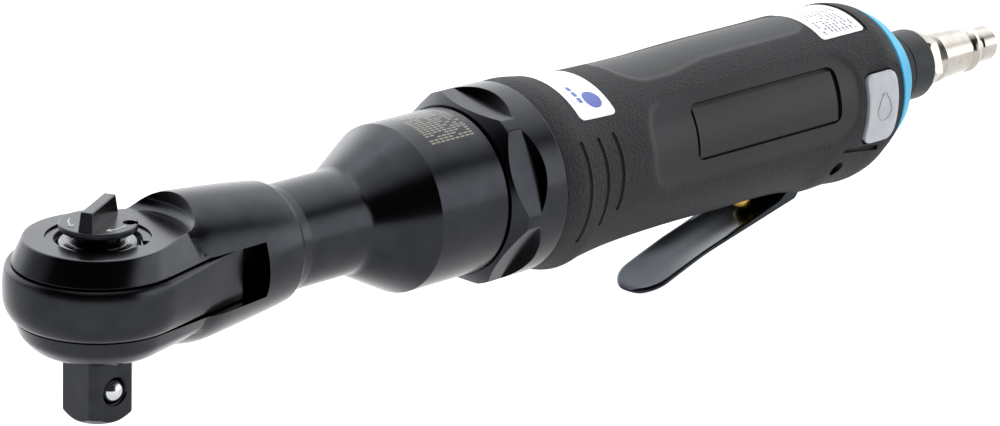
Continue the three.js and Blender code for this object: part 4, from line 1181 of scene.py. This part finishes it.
def blade_section(x, from_tip, half):
    """The sheet's outline across the blade at one place: upturned sides, edges rounded by the press."""
    droop = 1.1 * max(0, 1 - from_tip / 30) ** 2
    nose = 1 - min(from_tip / SHEET, 1)
    thick = SHEET * 0.45 * math.sqrt(max(1 - nose * nose, 0.04))
    upper, lower = [], []
    for k in range(29):
        side = math.sin(math.pi * (k / 28 - 0.5))
        lip = 1.1 * abs(side) ** 2.5 * min(1, 0.1 + from_tip / 24)
        middle_height = blade_low(x) + SHEET / 2 + lip - droop
        inward = min(half * (1 - abs(side)) / thick, 1)
        swell = thick * math.sqrt(1 - (1 - inward) ** 2)
        upper.append((x, half * side, middle_height + swell))
        lower.append((x, half * side, middle_height - swell))
    return upper + lower[-2:0:-1]


rows = []
for k in range(21):
    quarter = math.radians(5 + 85 * k / 20)
    from_tip = 8 * (1 - math.cos(quarter))
    rows.append(blade_section(tip_x + from_tip, from_tip, (LEVER_HALF - 0.2) * math.sin(quarter)))
for k in range(1, 41):
    from_tip = 8 + (BLADE_END - tip_x - 8) * k / 40
    rows.append(blade_section(tip_x + from_tip, from_tip, LEVER_HALF - 0.2))
blade = from_rings("blade", rows, False, capped=True)

ear_side = [
    (200, blade_low(200) + 1.5), (BLADE_END, blade_low(BLADE_END) + 0.9, 0.8), (233.7, -24.6, 0.8),
    (233.8, -21.2, 1.5), (pin_x, pin_z - 2.9, 1.0), (pin_x + 2.6, pin_z - 1.6, 1.5),
    (pin_x + 2.6, pin_z + 1.6, 1.5), (pin_x, pin_z + 2.9, 1.5), (pin_x - 2.6, pin_z + 1.7, 1.5),
    (pin_x - 5.4, pin_z - 6.0, 2.0), (226.4, blade_low(226.4) + 3.0, 2.0), (206, blade_low(206) + 2.2)]
ears = []
for side in (-1, 1):
    inner, outer = sorted((side * (LEVER_HALF - SHEET), side * LEVER_HALF))
    ear = prism("ear", ear_side, inner, outer, "XZ")
    machined(ear, [rod("eye", (pin_x, -12, pin_z), (pin_x, 12, pin_z), 1.75)])
    ears.append(edged(ear, 0.25, 40))
machined(blade, ears, "UNION")
placed(blade, "throttle_lever_pressing", pressed_black, ["throttle_lever"], sharp=42)

# %% [markdown]
# The pin is a plain rod with broken ends that stops short of the skin, and the valve stem is a small turned
# button of brass that the blade pushes up. Both are outlines spun about an axis and then moved to their
# place.

# %% Lever pin and valve stem
pin_start, pin_end = lever_pin_low.y + 0.8, lever_pin_high.y - 0.8
pin = turned("pin", [
    (pin_start, 0), (pin_start, 1.0, 0.1), (pin_start + 0.4, 1.4, 0.1), (pin_end - 0.4, 1.4, 0.1),
    (pin_end, 1.0, 0.1), (pin_end, 0)], "Z", 48)
pin.data.transform(Matrix.Translation((pin_x, 0, pin_z)) @ Matrix.Rotation(math.pi / 2, 4, "X"))
placed(pin, "lever_pin_blackened", blackened, ["lever_pin"])

stem_low, stem_high = cad("valve_stem")
stem_x = (stem_low.x + stem_high.x) / 2
stem = turned("stem", [
    (stem_low.z, 0), (stem_low.z, 1.7, 0.4), (stem_low.z + 0.9, 2.5, 0.3), (-24.9, 2.5, 0.3),
    (-24.4, 1.5, 0.2), (stem_high.z, 1.5, 0.2), (stem_high.z, 0)], "Z", 64)
stem.data.transform(Matrix.Translation((stem_x, 0, 0)))
placed(stem, "valve_stem_turned", brass, ["valve_stem"])

# %% [markdown]
# ## Exhaust cone and air inlet
# Behind the grip are four turned pieces: a bright moulded cone that turns the exhaust away, a black
# bushing, a seal and the plated nipple. The first three are plain outlines spun about the axis.

# %% Exhaust cone, bushing and seal
cone_low, cone_high = cad("exhaust_deflector")
cone = turned("cone", [
    (cone_low.x, 19.6, 0.2), (cone_low.x, 21.5, 0.5), (265.6, 18.6, 6), (cone_high.x, 14.15, 0.5),
    (cone_high.x, 12.6, 0.3), (265.0, 16.6, 3)], closed=True)
placed(cone, "exhaust_cone", cyan_acetal, ["exhaust_deflector"])

bush_low, bush_high = cad("inlet_bushing")
bush = turned("bush", [
    (bush_low.x, 3.6), (bush_low.x, 8.0, 0.3), (257.4, 8.0), (257.4, 9.8), (278.4, 9.8, 0.2),
    (278.8, 9.6, 0.2), (279.2, 9.8, 0.2), (bush_high.x, 9.8, 0.8), (bush_high.x, 6.8, 0.2), (279.6, 6.8),
    (279.6, 3.6)], closed=True)
placed(bush, "inlet_bushing_turned", phosphated, ["inlet_bushing"])

seal_low, seal_high = cad("nipple_seal")
seal = turned("seal", tube(seal_low.x, seal_high.x, 8.4, 6.7, 0.3), sides=64, closed=True)
placed(seal, "nipple_seal_ring", black_rubber, ["nipple_seal"])

# %% [markdown]
# The nipple is turned in one piece: a hexagon for a wrench, a few fine rings, the body, and the bead and
# groove that a coupling locks behind. The rings are points in its outline. The hexagon is one block,
# repeated six times by the tree; the blocks are just narrow enough not to overlap, which exact booleans do
# not like.

# %% Air nipple
nipple_low, nipple_high = cad("inlet_nipple")
HEX_START, HEX_END, HEX_FLAT = 288.8, 292.6, 7.6
HEX_HALF = HEX_FLAT * math.tan(math.radians(30)) - 0.03
RING_PITCH, RING_TOP, RING_ROOT = 0.8, 7.1, 6.75
fine_rings = []
for k in range(4):
    at = HEX_END + 0.5 + RING_PITCH * k
    fine_rings += [(at, RING_TOP, 0.1), (at + 0.3, RING_ROOT), (at + 0.4, RING_ROOT),
                   (at + 0.7, RING_TOP, 0.1)]
nipple = turned("nipple", [
    (nipple_low.x, 2.6), (nipple_low.x, 6.4, 0.3), (HEX_START, 6.4), (HEX_START, 7.9, 0.2),
    (HEX_START + 0.8, 8.8, 0.2), (HEX_END - 0.5, 8.8, 0.2), (HEX_END, 8.0, 0.2), (HEX_END + 0.2, RING_TOP),
    *fine_rings, (HEX_END + 4.0, 6.9, 0.2), (308.6, 6.2, 0.4), (309.3, 5.7, 0.3), (310.0, 6.3, 0.5),
    (311.2, 6.7, 0.8), (312.6, 6.2, 0.5), (313.8, 4.5, 0.8), (315.2, 4.6, 0.6), (315.8, 5.0, 0.3),
    (321.0, 5.0, 0.3), (nipple_high.x, 4.2, 0.3), (nipple_high.x, 2.6, 0.2)], sides=96, closed=True)
hex_side = block("hex_side", (HEX_START - 0.4, -HEX_HALF, HEX_FLAT), (HEX_END + 0.1, HEX_HALF, 12))
machined(nipple, [grown(round_axis, hex_side, nickel, Count=6, Start=math.radians(10))])
placed(nipple, "air_nipple_plated", nickel, ["inlet_nipple"])


# %% [markdown]
# ## Springs
# Two small springs are wire on a helix: the ball's, across the tool, and the plunger's, along the knob's
# bar. The coil tree makes each of them along z, and each is then turned to its place.


# %% Springs
def spring(name, cad_name, wire_radius, turns, length, lay):
    """A coil in a packed spring's place; lay turns it from z to its own direction."""
    low, high = cad(cad_name)
    start = path_mesh(name, [(0, 0, 0), (0, 0, 1)])
    made = grown(coil, start, spring_wire, Mean_radius=min(high - low) / 2 - wire_radius,
                 Wire_radius=wire_radius, Length=length - 2 * wire_radius, Turns=turns)
    centred = Matrix.Translation((0, 0, wire_radius - length / 2))
    made.data.transform(Matrix.Translation((low + high) / 2) @ lay @ centred)
    return placed(made, name, spring_wire, [cad_name], sharp=60)


ball_spring_low, ball_spring_high = cad("socket_ball_spring")
spring("socket_ball_coil", "socket_ball_spring", 0.35, 5.0, ball_spring_high.y - ball_spring_low.y,
       Matrix.Rotation(math.pi / 2, 4, "X"))
spring("plunger_coil", "knob_plunger_spring", 0.16, 7.0, 3.4,
       Matrix.Rotation(KNOB_TURN, 4, "Z") @ Matrix.Rotation(math.pi / 2, 4, "Y"))

# %% [markdown]
# ## What is carried over
# The gears, shafts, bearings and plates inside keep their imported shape, which is already right, and get the
# finish of what they are made of.

# %% Finishes for the carried-over nodes
FINISHES = {
    "ground_steel": ground, "bright_steel": bright, "spring_steel": spring_wire, "cast_aluminium": cast,
    "brass": brass, "nickel_plate": nickel, "black_rubber": black_rubber, "grey_rubber": grey_rubber,
    "blue_acetal": cyan_acetal, "vane_resin": vane_resin, "grey_felt": felt, "steel_mesh": wire_cloth,
    "blackened_steel": blackened, "black_composite": composite, "label_film": front_film}
kept = [o for o in frame["nodes"].values() if not o.hide_render]
for piece in kept:
    piece.data.materials.clear()
    piece.data.materials.append(FINISHES[SLOT[piece.name]])
print("carried over:", len(kept), "nodes")

# %% [markdown]
# ## Sizes
# The visual model's box is measured, and the triangles of the new pieces are counted.

# %% Measure the box and count the triangles
low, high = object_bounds()
print("triangles in new pieces:", sum(count for _, count in MADE))
